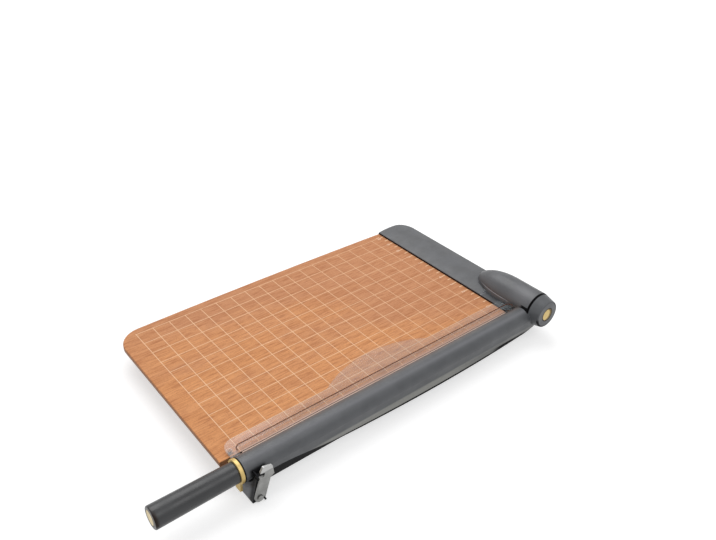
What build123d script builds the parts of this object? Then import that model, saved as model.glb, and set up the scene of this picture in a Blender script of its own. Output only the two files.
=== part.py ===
"""Guillotine paper cutter: wooden bed, clear guard, swinging blade arm and latch.

Millimetres. +X runs from the far side of the bed to the blade, +Y from the handle
to the pivot, +Z up. The origin is the centre of the footprint, on the desk.
"""

import os
from math import cos, radians, sin

from build123d import *

# Cuts run past the faces they open by this much
overrun = 5.0

# Bed
board_width = 294.0
board_thickness = 9.0
board_height = 37.0
board_corner_radius = 35.0
side_bow = 3.5
front_sweep = 3.0
board_edge_radius = 1.5
board_edge_chamfer = 2.5
front_margin = 29.0
cut_length = 457.2
fit_clearance = 0.3

# Bars and feet under the bed
batten_inset = 14.0
batten_side_inset = 34.0
batten_width = 40.0
batten_chamfer = 3.0
foot_height = 3.0
foot_radius = 10.0
foot_stem_radius = 4.0
foot_stem_length = 8.0
foot_inset = 28.0
rail_width = 22.0
rail_height = 16.0

# Screws of one size serve the whole cutter
screw_radius = 2.0
screw_head_radius = 4.0
screw_head_height = 2.0
countersink_angle = 90
batten_screw_bite = 6.0
batten_bore_depth = 14.0
batten_screw_shares = (0.2, 0.5, 0.8)

# Fixed lower blade
lower_blade_thickness = 2.0
lower_blade_height = 20.0
lower_blade_lead = 1.0
lower_blade_tail = 6.0
lower_blade_screw_length = 14.0
lower_blade_screw_shares = (0.09, 0.295, 0.5, 0.705, 0.91)

# Head cover along the back edge
head_length = 60.8
head_height = 6.5
head_lip_height = 3.6
head_back_height = 3.0
head_skirt = 5.7
head_skirt_drop = 9.0
head_corner_radius = 26.0
head_end_radius = 3.2
head_edge_radius = 1.2
head_screw_bite = 4.5
head_screw_shares = (0.12, 0.45)
shelf_length = 20.5
shelf_width = 51.0

# Bullet-shaped dome over the pivot
pivot_setback = 34.8
pivot_rise = 8.0
dome_radius = 25.5
dome_reach = 84.0
dome_nose = 63.0
dome_overhang = 31.0
dome_wall = 2.5
dome_rim_radius = 0.8

# Pivot hardware
bolt_radius = 6.0
bolt_head_radius = 9.0
bolt_head_height = 4.5
running_clearance = 0.05
end_play = 0.3
sleeve_radius = 7.6
bracket_plate = 3.0
bracket_nose_gap = 22.0
bracket_width = 27.0
bracket_setback = 4.0
bracket_screw_length = 10.0
bracket_screw_offset = 8.8
bracket_screw_shares = (0.28, 0.72)
bush_wall = 3.0
nut_height = 5.0

# Arm
arm_offset = 23.0
arm_radius = 15.5
arm_wall = 2.2
arm_left_drop = 14.0
arm_right_drop = 22.0
arm_draft = 2.3
arm_front_overlap = 17.6
skirt_front = 12.0
lip_flare = 4.6
lip_height = 7.0
lip_front = 100.0
lip_back = 470.0
tail_rise = 11.0
tail_length = 42.0
swing_clearance = 1.0
arm_end_wall = 12.0
core_radius = 8.5
core_width = 14.0
core_height = 13.0
core_front_inset = 13.0

# Knuckle of the arm, beside the dome
hub_gap = 1.2
hub_length = 17.8
hub_inner_radius = 25.0
hub_outer_radius = 20.8
hub_edge_radius = 2.0
pivot_cap_radius = 9.6
pivot_cap_thickness = 2.5
pivot_cap_edge = 0.6

# Swinging blade
shear_clearance = 0.2
blade_thickness = 2.0
blade_top_drop = 1.0
blade_front = 0.5
blade_tail = 0.5
blade_front_depth = 15.0
blade_middle_depth = 21.0
blade_back_depth = 11.0
blade_bevel_width = 1.5
blade_bevel_height = 4.0
carrier_height = 12.0
carrier_chamfer = 2.0
blade_screw_drop = 7.0
blade_screw_length = 16.0
blade_screw_shares = (0.06, 0.235, 0.41, 0.59, 0.765, 0.94)

# Collar and handle
collar_radius = 15.7
collar_width = 4.8
collar_edge = 0.6
tongue_width = 11.0
tongue_offset = 2.5
tongue_drop = 27.0
tongue_thickness = 3.0
tongue_corner_radius = 2.0
handle_reach = 96.0
handle_front_radius = 14.0
handle_back_radius = 13.0
handle_edge_radius = 1.5
end_cap_radius = 10.0
end_cap_thickness = 2.5

# Front block that the arm comes down into
block_length = 16.5
block_front = 15.0
block_drop = 36.5
block_lean = 8.0
block_edge_radius = 1.0
blade_pocket_lead = 2.5
blade_pocket_drop = 24.0
saddle_clearance = 0.5
ear_thickness = 7.0
ear_height = 0.8
block_screw_length = 24.0
block_screw_spread = 9.0
block_screw_rise = 6.0
bumper_width = 10.0
bumper_length = 12.0
bumper_height = 4.0
rest_clearance = 0.05

# Latch on the right of the block
latch_gap = 0.3
lever_thickness = 2.7
lever_front_width = 6.5
lever_back_width = 7.7
lever_length = 44.0
lever_shoulder = 27.0
lever_ledge = 31.0
beak_width = 8.6
beak_top_width = 6.8
lever_head_width = 5.8
ledge_width = 11.8
lever_corner_radius = 1.5
lever_lean = 17.0
lever_lock_turn = 10.0
lever_heel = 1.9
notch_height = 5.6
notch_depth = 6.4
notch_rise = 32.6
lever_pin_radius = 2.0
lever_pin_head_radius = 3.6
lever_pin_head_height = 1.9
lever_pin_depth = 12.0
lever_pin_back = 8.0
lever_pin_rise = 8.0
stop_radius = 1.2
stop_inset = 0.5
stop_reach = 2.0
stop_depth = 8.0
stud_radius = 1.7
stud_seat = 3.0
stud_grip = 1.6
stud_back_share = 0.62

# Clear guard
paper_gap = 3.4
guard_thickness = 1.6
guard_width = 20.0
guard_wall_height = 8.6
guard_edge_gap = 0.7
guard_wall_front = 8.0
guard_front = 16.5
guard_end_gap = 1.0
guard_corner_radius = 15.0
guard_wall_corner_radius = 7.0
guard_back_return = 6.4
guard_back_radius = 5.0
tab_reach = 25.0
tab_half_length = 88.0
tab_middle = 228.0
spacer_length = 8.0
spacer_width = 6.0
spacer_inset = 5.0
guard_screw_head_height = 1.4
guard_screw_length = 4.6

# Places worked out from the sizes above
right_reach = (
    arm_offset + arm_radius + saddle_clearance + ear_thickness
    + latch_gap + lever_thickness + latch_gap + lever_pin_head_height
)
overall_width = board_width + right_reach
overall_length = handle_reach + front_margin + cut_length + head_length
left_x = -overall_width / 2
cut_x = left_x + board_width
handle_end_y = -overall_length / 2
board_front_y = handle_end_y + handle_reach
cut_start_y = board_front_y + front_margin
fence_y = cut_start_y + cut_length
back_y = fence_y + head_length
board_back_y = back_y - head_skirt - fit_clearance
top_z = board_height
board_bottom_z = top_z - board_thickness

arm_x = cut_x + arm_offset
arm_z = top_z
arm_left_x = arm_x - arm_radius
arm_right_x = arm_x + arm_radius
pivot_y = fence_y + pivot_setback
pivot_z = top_z + pivot_rise
dome_rim_x = cut_x + dome_overhang
hub_in_x = dome_rim_x + hub_gap
hub_out_x = hub_in_x + hub_length
pivot_axis = Axis((hub_in_x, pivot_y, pivot_z), (1, 0, 0))
arm_axis = Axis((arm_x, handle_end_y, arm_z), (0, 1, 0))


def cross_plane(y):
    """Plane across the cutter at y: local x is +X, local y is +Z, normal is -Y."""
    return Plane(origin=(0, y, 0), x_dir=(1, 0, 0), z_dir=(0, -1, 0))


def side_plane(x):
    """Plane along the cutter at x: local x is +Y, local y is +Z, normal is +X."""
    return Plane(origin=(x, 0, 0), x_dir=(0, 1, 0), z_dir=(1, 0, 0))


def left_plane(x):
    """Plane along the cutter at x: local x is -Y, local y is +Z, normal is -X."""
    return Plane(origin=(x, 0, 0), x_dir=(0, -1, 0), z_dir=(-1, 0, 0))


def under_plane(z):
    """Level plane at z that looks down: local x is +X, local y is -Y, normal is -Z."""
    return Plane(origin=(0, 0, z), x_dir=(1, 0, 0), z_dir=(0, 0, -1))


def bed_outline(z, rear_y, rear_radius):
    """Outline of the bed from above: straight cut edge, swept front edge, bowed far edge."""
    with BuildSketch(Plane.XY.offset(z)) as outline:
        with BuildLine():
            Polyline(
                (left_x + side_bow, rear_y),
                (cut_x, rear_y),
                (cut_x, board_front_y),
                (left_x + side_bow, board_front_y + front_sweep),
            )
            ThreePointArc(
                (left_x + side_bow, board_front_y + front_sweep),
                (left_x, (board_front_y + rear_y) / 2),
                (left_x + side_bow, rear_y),
            )
        make_face()
        fillet(outline.vertices().sort_by(Axis.X)[:2].sort_by(Axis.Y)[0], board_corner_radius)
        fillet(outline.vertices().group_by(Axis.Y)[-1].sort_by(Axis.X)[0], rear_radius)
    return outline.sketch


def seats(plane, points):
    """Screw seats at points of a face, whose plane points out of the face."""
    return [plane.location * Pos(u, v, 0) for u, v in points]


def along(start, end, shares):
    """Places at the given shares of the way from start to end."""
    return [start + share * (end - start) for share in shares]


def pan_screw(length, head_height):
    """Screw with a round flat head, its seat at the current location."""
    Cylinder(screw_head_radius, head_height, align=(Align.CENTER, Align.CENTER, Align.MIN))
    Cylinder(screw_radius, length, align=(Align.CENTER, Align.CENTER, Align.MAX))


def flush_screw(length):
    """Screw with a countersunk head, its top at the current location."""
    Cone(
        screw_radius, screw_head_radius, screw_head_height,
        align=(Align.CENTER, Align.CENTER, Align.MAX),
    )
    Cylinder(screw_radius, length, align=(Align.CENTER, Align.CENTER, Align.MAX))


def finish(builder, name):
    """Label a finished piece and write it out."""
    builder.part.label = name
    export_step(builder.part, f"parts/{name}.step")


os.makedirs("parts", exist_ok=True)

# Screw places under the bed
batten_left_x = left_x + batten_side_inset
batten_right_x = cut_x - lower_blade_thickness
batten_bottom_z = foot_height
front_batten_y = board_front_y + batten_inset
front_batten_back_y = front_batten_y + batten_width
rear_batten_back_y = board_back_y - 2 * batten_inset
rear_batten_y = rear_batten_back_y - batten_width
batten_screw_xs = along(batten_left_x, batten_right_x, batten_screw_shares)
front_screw_seats = seats(
    under_plane(batten_bottom_z),
    [(x, -(front_batten_y + batten_width / 2)) for x in batten_screw_xs],
)
rear_screw_seats = seats(
    under_plane(batten_bottom_z),
    [(x, -(rear_batten_y + batten_width / 2)) for x in batten_screw_xs],
)
batten_height = board_bottom_z - batten_bottom_z
batten_screw_length = batten_height - batten_bore_depth + batten_screw_bite
batten_hole_depth = batten_height + batten_screw_bite
foot_xs = (batten_left_x + foot_inset, batten_right_x - foot_inset)
foot_ys = (front_batten_y + batten_width / 2, rear_batten_y + batten_width / 2)
foot_places = [(x, y) for x in foot_xs for y in foot_ys]

# Screw places on the lower blade, the head and the bracket
lower_blade_front_y = cut_start_y - lower_blade_lead
lower_blade_back_y = fence_y + lower_blade_tail
lower_screw_z = board_bottom_z - rail_height / 2
lower_screw_seats = seats(
    side_plane(cut_x),
    [(y, lower_screw_z) for y in along(lower_blade_front_y, lower_blade_back_y, lower_blade_screw_shares)],
)
head_screw_seats = seats(
    under_plane(board_bottom_z),
    [(x, -(rear_batten_back_y + board_back_y) / 2) for x in along(left_x, cut_x, head_screw_shares)],
)
head_screw_length = board_thickness + head_screw_bite
bracket_right_x = cut_x - bracket_setback
bracket_left_x = cut_x - dome_reach + bracket_nose_gap
bracket_length = bracket_right_x - bracket_left_x
bracket_screw_seats = seats(
    Plane.XY.offset(top_z + bracket_plate),
    [
        (x, pivot_y + side * bracket_screw_offset)
        for x in along(bracket_left_x, bracket_right_x, bracket_screw_shares)
        for side in (-1, 1)
    ],
)

# Seats of the guard's two screws
shelf_z = top_z + paper_gap
guard_left_x = cut_x - guard_edge_gap - guard_width
guard_back_y = pivot_y - dome_radius - fit_clearance
spacer_x = cut_x - spacer_inset
spacer_y = cut_start_y - (guard_front + guard_wall_front) / 2
guard_plane = Plane.XY.offset(shelf_z + guard_thickness)
guard_front_seats = seats(guard_plane, [(spacer_x, spacer_y)])
guard_back_seats = seats(guard_plane, [(guard_left_x + guard_width / 2, (fence_y + guard_back_y) / 2)])
guard_front_screw_length = guard_thickness + paper_gap + guard_screw_length

# Bed
with BuildPart() as board:
    extrude(
        bed_outline(board_bottom_z, board_back_y, head_corner_radius - head_skirt),
        amount=board_thickness,
    )
    fillet(
        board.faces().sort_by(Axis.Z)[-1].edges().filter_by(lambda e: e.center().X < cut_x - overrun),
        board_edge_radius,
    )
    chamfer(
        board.faces().sort_by(Axis.Z)[0].edges().filter_by(lambda e: e.center().X < cut_x - overrun),
        board_edge_chamfer,
    )
    with BuildSketch(Plane.XY.offset(top_z)):
        with Locations((cut_x, lower_blade_front_y)):
            Rectangle(
                2 * lower_blade_thickness, lower_blade_back_y - lower_blade_front_y,
                align=(Align.CENTER, Align.MIN),
            )
    extrude(amount=-board_thickness, mode=Mode.SUBTRACT)
    with Locations(*front_screw_seats, *rear_screw_seats):
        Hole(screw_radius, depth=batten_hole_depth)
    with Locations(*head_screw_seats):
        Hole(screw_radius, depth=board_thickness)
    with Locations(*bracket_screw_seats):
        Hole(screw_radius, depth=bracket_screw_length)
    with Locations(*guard_front_seats):
        Hole(screw_radius, depth=guard_front_screw_length)
finish(board, "board")


def batten(front_y, screw_seats):
    """One cross bar under the bed, with deep screw holes and holes for two feet."""
    with BuildPart() as bar:
        with BuildSketch(Plane.XY.offset(batten_bottom_z)):
            with Locations((batten_left_x, front_y)):
                Rectangle(batten_right_x - batten_left_x, batten_width, align=(Align.MIN, Align.MIN))
        extrude(amount=batten_height)
        chamfer(bar.faces().sort_by(Axis.Z)[0].edges().filter_by(Axis.X), batten_chamfer)
        with Locations(*screw_seats):
            CounterBoreHole(screw_radius, screw_head_radius, batten_bore_depth, depth=batten_hole_depth)
        with BuildSketch(Plane.XY.offset(batten_bottom_z)):
            with Locations(*[(x, front_y + batten_width / 2) for x in foot_xs]):
                Circle(foot_stem_radius)
        extrude(amount=foot_stem_length, mode=Mode.SUBTRACT)
    return bar


# Front batten, with holes in its end for the screws of the front block
block_front_y = cut_start_y - block_front
block_back_y = block_front_y + block_length
block_bottom_z = top_z - block_drop
block_screw_z = batten_bottom_z + block_screw_rise
block_screw_y = (block_front_y + block_back_y) / 2
block_screw_seats = seats(
    left_plane(batten_right_x - batten_inset),
    [(-(block_screw_y + side * block_screw_spread / 2), block_screw_z) for side in (-1, 1)],
)
front_bar = batten(front_batten_y, front_screw_seats)
with BuildPart() as front_batten:
    add(front_bar.part)
    with BuildSketch(side_plane(batten_right_x - batten_inset)):
        with Locations((block_screw_y, block_screw_z)):
            Rectangle(block_screw_spread + 3 * screw_head_radius, 4 * screw_head_radius)
    extrude(amount=-batten_inset, mode=Mode.SUBTRACT)
    with Locations(*block_screw_seats):
        Hole(screw_radius, depth=block_screw_length)
finish(front_batten, "front_batten")

rear_batten = batten(rear_batten_y, rear_screw_seats)
finish(rear_batten, "rear_batten")

with BuildPart() as batten_screws:
    with Locations(*[seat * Pos(0, 0, -batten_bore_depth) for seat in front_screw_seats + rear_screw_seats]):
        pan_screw(batten_screw_length, screw_head_height)
finish(batten_screws, "batten_screws")

with BuildPart() as rubber_feet:
    with BuildSketch():
        with Locations(*foot_places):
            Circle(foot_radius)
    extrude(amount=foot_height)
    chamfer(rubber_feet.faces().group_by(Axis.Z)[-1].edges(), foot_height / 3)
    with BuildSketch(Plane.XY.offset(foot_height)):
        with Locations(*foot_places):
            Circle(foot_stem_radius)
    extrude(amount=foot_stem_length)
finish(rubber_feet, "rubber_feet")

# Bar behind the lower blade
rail_right_x = cut_x - lower_blade_thickness
with BuildPart() as cutting_rail:
    with BuildSketch(Plane.XY.offset(board_bottom_z)):
        with Locations((rail_right_x, front_batten_back_y)):
            Rectangle(rail_width, rear_batten_y - front_batten_back_y, align=(Align.MAX, Align.MIN))
    extrude(amount=-rail_height)
    chamfer(cutting_rail.faces().sort_by(Axis.Z)[0].edges().filter_by(Axis.Y), batten_chamfer)
    with Locations(*lower_screw_seats):
        Hole(screw_radius, depth=lower_blade_screw_length)
finish(cutting_rail, "cutting_rail")

with BuildPart() as lower_blade:
    with BuildSketch(side_plane(rail_right_x)):
        with Locations((lower_blade_front_y, top_z)):
            Rectangle(
                lower_blade_back_y - lower_blade_front_y, lower_blade_height,
                align=(Align.MIN, Align.MAX),
            )
    extrude(amount=lower_blade_thickness)
    with Locations(*lower_screw_seats):
        CounterSinkHole(
            screw_radius, screw_head_radius,
            depth=lower_blade_screw_length, counter_sink_angle=countersink_angle,
        )
finish(lower_blade, "lower_blade")

with BuildPart() as lower_blade_screws:
    with Locations(*lower_screw_seats):
        flush_screw(lower_blade_screw_length)
finish(lower_blade_screws, "lower_blade_screws")

# Head cover: a low crowned strip with a dome over the pivot
head_skirt_y = back_y - head_skirt
with BuildPart() as head_cover:
    extrude(
        bed_outline(top_z - head_skirt_drop, back_y, head_corner_radius),
        amount=head_skirt_drop + head_height,
    )
    with BuildSketch(side_plane(left_x - overrun)):
        with BuildLine():
            Polyline(
                (back_y, top_z + head_back_height),
                (back_y, top_z - head_skirt_drop),
                (fence_y, top_z - head_skirt_drop),
                (fence_y, top_z + head_lip_height),
            )
            ThreePointArc(
                (fence_y, top_z + head_lip_height),
                (fence_y + head_length / 2, top_z + head_height),
                (back_y, top_z + head_back_height),
            )
        make_face()
    extrude(amount=board_width + 2 * overrun, mode=Mode.INTERSECT)
    # Round top edges, softest at the far end and the back
    top_edges = head_cover.edges().filter_by(lambda e: e.center().Z > top_z + head_back_height / 2)
    top_edges = top_edges.filter_by(lambda e: e.center().X < cut_x - overrun)
    fillet(top_edges.sort_by(Axis.Y)[1:], head_end_radius)
    fence_edges = head_cover.edges().filter_by(Axis.X).filter_by(lambda e: e.center().Z > top_z)
    fillet(fence_edges.sort_by(Axis.Y)[0], head_edge_radius)
    # Shelf for the end of the guard
    with BuildSketch(Plane.XY.offset(shelf_z)):
        with Locations((cut_x, fence_y)):
            Rectangle(2 * shelf_width, 2 * shelf_length)
    extrude(amount=head_height, mode=Mode.SUBTRACT)
    # Dome, turned about the pivot axis
    with BuildSketch(Plane.XY.offset(pivot_z)):
        with BuildLine():
            EllipticalCenterArc(
                (cut_x - dome_reach + dome_nose, pivot_y), dome_nose, dome_radius,
                start_angle=90, arc_size=90,
            )
            Polyline(
                (cut_x - dome_reach, pivot_y),
                (dome_rim_x, pivot_y),
                (dome_rim_x, pivot_y + dome_radius),
                (cut_x - dome_reach + dome_nose, pivot_y + dome_radius),
            )
        make_face()
    revolve(axis=pivot_axis)
    fillet(head_cover.faces().sort_by(Axis.X)[-1].edges(), dome_rim_radius)
    # Room for the bed
    with BuildSketch(Plane.XY.offset(top_z)):
        with Locations((cut_x, fence_y - overrun)):
            Rectangle(
                board_width + overrun, head_skirt_y - fence_y + overrun,
                align=(Align.MAX, Align.MIN),
            )
    extrude(amount=-(dome_radius + head_skirt_drop), mode=Mode.SUBTRACT)
    # Hollow of the dome
    with BuildSketch(Plane.XY.offset(pivot_z)):
        with BuildLine():
            EllipticalCenterArc(
                (cut_x - dome_reach + dome_nose, pivot_y), dome_nose - dome_wall, dome_radius - dome_wall,
                start_angle=90, arc_size=90,
            )
            Polyline(
                (cut_x - dome_reach + dome_wall, pivot_y),
                (dome_rim_x - dome_wall, pivot_y),
                (dome_rim_x - dome_wall, pivot_y + dome_radius - dome_wall),
                (cut_x - dome_reach + dome_nose, pivot_y + dome_radius - dome_wall),
            )
        make_face()
    revolve(axis=pivot_axis, mode=Mode.SUBTRACT)
    # Wall that closes the overhang beside the bed
    with BuildSketch(side_plane(cut_x)):
        with Locations((pivot_y, pivot_z)):
            Circle(dome_radius)
        with Locations((pivot_y, top_z - fit_clearance)):
            Rectangle(2 * dome_radius, 2 * dome_radius, align=(Align.CENTER, Align.MAX), mode=Mode.INTERSECT)
    extrude(amount=dome_wall)
    with BuildSketch(side_plane(dome_rim_x)):
        with Locations((pivot_y, pivot_z)):
            Circle(sleeve_radius)
    extrude(amount=-2 * dome_wall, mode=Mode.SUBTRACT)
    with Locations(*head_screw_seats):
        Hole(screw_radius, depth=head_screw_length)
    with Locations(*guard_back_seats):
        Hole(screw_radius, depth=guard_screw_length)
finish(head_cover, "head_cover")

with BuildPart() as head_screws:
    with Locations(*head_screw_seats):
        pan_screw(head_screw_length, screw_head_height)
finish(head_screws, "head_screws")

# Bracket inside the dome: a foot with two uprights
upright_radius = bracket_width / 2
with BuildPart() as pivot_bracket:
    with BuildSketch(Plane.XY.offset(top_z)):
        with Locations((bracket_left_x, pivot_y)):
            Rectangle(bracket_length, bracket_width, align=(Align.MIN, Align.CENTER))
    extrude(amount=bracket_plate)
    for upright_x in (bracket_left_x, bracket_right_x - bracket_plate):
        with BuildSketch(side_plane(upright_x)):
            with Locations((pivot_y, pivot_z)):
                Circle(upright_radius)
            with Locations((pivot_y, top_z)):
                Rectangle(bracket_width, pivot_rise, align=(Align.CENTER, Align.MIN))
        extrude(amount=bracket_plate)
    with BuildSketch(Plane.XY.offset(top_z)):
        with Locations((bracket_left_x, pivot_y)):
            Rectangle(bracket_length, bracket_width, align=(Align.MIN, Align.CENTER))
    extrude(amount=-upright_radius, mode=Mode.SUBTRACT)
    with BuildSketch(side_plane(bracket_left_x)):
        with Locations((pivot_y, pivot_z)):
            Circle(bolt_radius)
    extrude(amount=bracket_length, mode=Mode.SUBTRACT)
    with Locations(*bracket_screw_seats):
        Hole(screw_radius, depth=bracket_plate)
finish(pivot_bracket, "pivot_bracket")

with BuildPart() as bracket_screws:
    with Locations(*bracket_screw_seats):
        pan_screw(bracket_screw_length, screw_head_height / 2)
finish(bracket_screws, "bracket_screws")

# Pivot: bolt, spacer sleeve and nut stand still, the bush turns with the arm
nut_x = hub_out_x - pivot_cap_thickness - end_play - nut_height
with BuildPart() as pivot_bolt:
    with BuildSketch(side_plane(bracket_left_x)):
        with Locations((pivot_y, pivot_z)):
            RegularPolygon(bolt_head_radius, 6)
    extrude(amount=-bolt_head_height)
    with BuildSketch(side_plane(bracket_left_x)):
        with Locations((pivot_y, pivot_z)):
            Circle(bolt_radius)
    extrude(amount=nut_x + nut_height - bracket_left_x)
finish(pivot_bolt, "pivot_bolt")

with BuildPart() as pivot_sleeve:
    with BuildSketch(side_plane(bracket_right_x)):
        with Locations((pivot_y, pivot_z)):
            Circle(sleeve_radius)
            Circle(bolt_radius, mode=Mode.SUBTRACT)
    extrude(amount=hub_in_x - end_play - bracket_right_x)
finish(pivot_sleeve, "pivot_sleeve")

with BuildPart() as pivot_nut:
    with BuildSketch(side_plane(nut_x)):
        with Locations((pivot_y, pivot_z)):
            RegularPolygon(bolt_head_radius, 6)
            Circle(bolt_radius, mode=Mode.SUBTRACT)
    extrude(amount=nut_height)
finish(pivot_nut, "pivot_nut")

bush_radius = bolt_radius + running_clearance + bush_wall
bush_end_x = nut_x - end_play
with BuildPart() as pivot_bush:
    with BuildSketch(side_plane(hub_in_x)):
        with Locations((pivot_y, pivot_z)):
            Circle(bush_radius)
            Circle(bolt_radius + running_clearance, mode=Mode.SUBTRACT)
    extrude(amount=bush_end_x - hub_in_x)
finish(pivot_bush, "pivot_bush")

with BuildPart() as pivot_cap:
    with BuildSketch(side_plane(hub_out_x)):
        with Locations((pivot_y, pivot_z)):
            Circle(pivot_cap_radius)
    extrude(amount=-pivot_cap_thickness)
    fillet(pivot_cap.faces().sort_by(Axis.X)[-1].edges(), pivot_cap_edge)
finish(pivot_cap, "pivot_cap")

# Latch geometry: the lever leans back from its pin, the stud sits where it locks
pin_x = arm_right_x + saddle_clearance + ear_thickness
lever_x = pin_x + latch_gap
pin_y = block_front_y + lever_pin_back
pin_z = block_bottom_z + lever_pin_rise
lock_lean = radians(lever_lean - lever_lock_turn)
lean = radians(lever_lean)
notch_middle = -beak_width + stud_back_share * notch_depth
stud_y = pin_y + notch_middle * cos(lock_lean) + notch_rise * sin(lock_lean)
stud_z = pin_z - notch_middle * sin(lock_lean) + notch_rise * cos(lock_lean)
stud_seat_x = arm_x + core_radius + stud_seat

# The lever's heel leans on the stop
stop_across = lever_back_width - stop_inset
stop_below = lever_heel + stop_radius + rest_clearance
stop_y = pin_y + stop_across * cos(lean) - stop_below * sin(lean)
stop_z = pin_z - stop_across * sin(lean) - stop_below * cos(lean)

# Screws that hold blade and carrier to the arm
blade_x = cut_x + shear_clearance
carrier_x = blade_x + blade_thickness
blade_front_y = cut_start_y + blade_front
blade_back_y = fence_y + blade_tail
blade_top_z = top_z - blade_top_drop
blade_screw_seats = seats(
    left_plane(blade_x),
    [
        (-y, blade_top_z - blade_screw_drop)
        for y in along(blade_front_y, blade_back_y, blade_screw_shares)
    ],
)

# Arm cover: round on top, open below, with a flared lip and the knuckle
tube_front_y = cut_start_y - arm_front_overlap
skirt_front_y = cut_start_y + skirt_front
hollow_back_y = pivot_y - dome_radius - arm_end_wall
recess_x = bush_end_x
lip_wall = arm_draft * lip_height / arm_right_drop
lip_edge_x = arm_right_x - arm_draft
lip_front_y = cut_start_y + lip_front
lip_back_y = cut_start_y + lip_back
lip_middle_y = (lip_front_y + lip_back_y) / 2
with BuildPart() as arm_cover:
    with BuildSketch(cross_plane(pivot_y)):
        with BuildLine():
            Polyline(
                (arm_right_x, arm_z),
                (arm_right_x - arm_draft, arm_z - arm_right_drop),
                (arm_left_x, arm_z - arm_left_drop),
                (arm_left_x, arm_z),
            )
            ThreePointArc((arm_left_x, arm_z), (arm_x, arm_z + arm_radius), (arm_right_x, arm_z))
        make_face()
    extrude(amount=pivot_y - skirt_front_y)
    # Flared lower lip, widest near its middle
    with BuildSketch(Plane.XY.offset(arm_z - arm_right_drop)):
        with BuildLine():
            Line((lip_edge_x - arm_wall / 2, lip_back_y), (lip_edge_x - arm_wall / 2, lip_front_y))
            ThreePointArc(
                (lip_edge_x - arm_wall / 2, lip_front_y),
                (lip_edge_x + lip_flare, lip_middle_y),
                (lip_edge_x - arm_wall / 2, lip_back_y),
            )
        make_face()
    with BuildSketch(Plane.XY.offset(arm_z - arm_right_drop + lip_height)):
        with BuildLine():
            Line((lip_edge_x - arm_wall / 2, lip_back_y), (lip_edge_x - arm_wall / 2, lip_front_y))
            ThreePointArc(
                (lip_edge_x - arm_wall / 2, lip_front_y),
                (lip_edge_x + lip_wall / 2, lip_middle_y),
                (lip_edge_x - arm_wall / 2, lip_back_y),
            )
        make_face()
    loft(ruled=True)
    # Lower edge sweeps up to the knuckle
    with BuildSketch(side_plane(arm_left_x - overrun)):
        with BuildLine():
            TangentArc(
                (pivot_y - tail_length, arm_z - arm_right_drop),
                (pivot_y, arm_z - arm_right_drop + tail_rise),
                tangent=(1, 0),
            )
            Polyline(
                (pivot_y, arm_z - arm_right_drop + tail_rise),
                (pivot_y + overrun, arm_z - arm_right_drop + tail_rise),
                (pivot_y + overrun, arm_z - arm_right_drop - overrun),
                (pivot_y - tail_length, arm_z - arm_right_drop - overrun),
                (pivot_y - tail_length, arm_z - arm_right_drop),
            )
        make_face()
    extrude(amount=2 * (arm_radius + overrun), mode=Mode.SUBTRACT)
    # Round end cut that turns about the dome
    with BuildSketch(side_plane(hub_in_x)):
        with Locations((pivot_y, pivot_z)):
            Circle(dome_radius + swing_clearance)
    extrude(amount=-(hub_in_x - arm_left_x + overrun), mode=Mode.SUBTRACT)
    # Hollow of the arm
    with BuildSketch(cross_plane(hollow_back_y)):
        with BuildLine():
            Polyline(
                (arm_right_x - arm_wall, arm_z),
                (arm_right_x - arm_wall - arm_draft, arm_z - arm_right_drop - overrun),
                (arm_left_x + arm_wall, arm_z - arm_right_drop - overrun),
                (arm_left_x + arm_wall, arm_z),
            )
            ThreePointArc(
                (arm_left_x + arm_wall, arm_z),
                (arm_x, arm_z + arm_radius - arm_wall),
                (arm_right_x - arm_wall, arm_z),
            )
        make_face()
    extrude(amount=hollow_back_y - skirt_front_y, mode=Mode.SUBTRACT)
    # Round front part that lies in the saddle
    with BuildSketch(cross_plane(skirt_front_y)):
        with Locations((arm_x, arm_z)):
            Circle(arm_radius)
            Circle(core_radius, mode=Mode.SUBTRACT)
    extrude(amount=skirt_front_y - tube_front_y)
    # Knuckle
    with BuildSketch(Plane.XY.offset(pivot_z)):
        with BuildLine():
            Polyline(
                (hub_in_x, pivot_y),
                (hub_out_x, pivot_y),
                (hub_out_x, pivot_y + hub_outer_radius),
                (hub_in_x, pivot_y + hub_inner_radius),
                close=True,
            )
        make_face()
    revolve(axis=pivot_axis)
    fillet(arm_cover.faces().sort_by(Axis.X)[-1].edges(), hub_edge_radius)
    with BuildSketch(side_plane(hub_out_x)):
        with Locations((pivot_y, pivot_z)):
            Circle(pivot_cap_radius)
    extrude(amount=-(hub_out_x - recess_x), mode=Mode.SUBTRACT)
    with BuildSketch(side_plane(hub_out_x)):
        with Locations((pivot_y, pivot_z)):
            Circle(bush_radius)
    extrude(amount=-hub_length, mode=Mode.SUBTRACT)
    with Locations(*blade_screw_seats):
        Hole(screw_radius, depth=blade_screw_length)
    with BuildSketch(side_plane(stud_seat_x)):
        with Locations((stud_y, stud_z)):
            Circle(stud_radius)
    extrude(amount=arm_radius, mode=Mode.SUBTRACT)
finish(arm_cover, "arm_cover")

with BuildPart() as arm_core:
    core_left_x = arm_left_x + arm_wall
    with BuildSketch(cross_plane(hollow_back_y)):
        with Locations((core_left_x, arm_z)):
            Rectangle(core_width, core_height, align=(Align.MIN, Align.MAX))
    extrude(amount=hollow_back_y - skirt_front_y)
    with BuildSketch(cross_plane(skirt_front_y + core_width)):
        with Locations((arm_x, arm_z)):
            Circle(core_radius)
    extrude(amount=skirt_front_y + core_width - handle_end_y - core_front_inset)
    with Locations(*blade_screw_seats):
        Hole(screw_radius, depth=blade_screw_length)
finish(arm_core, "arm_core")

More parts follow.
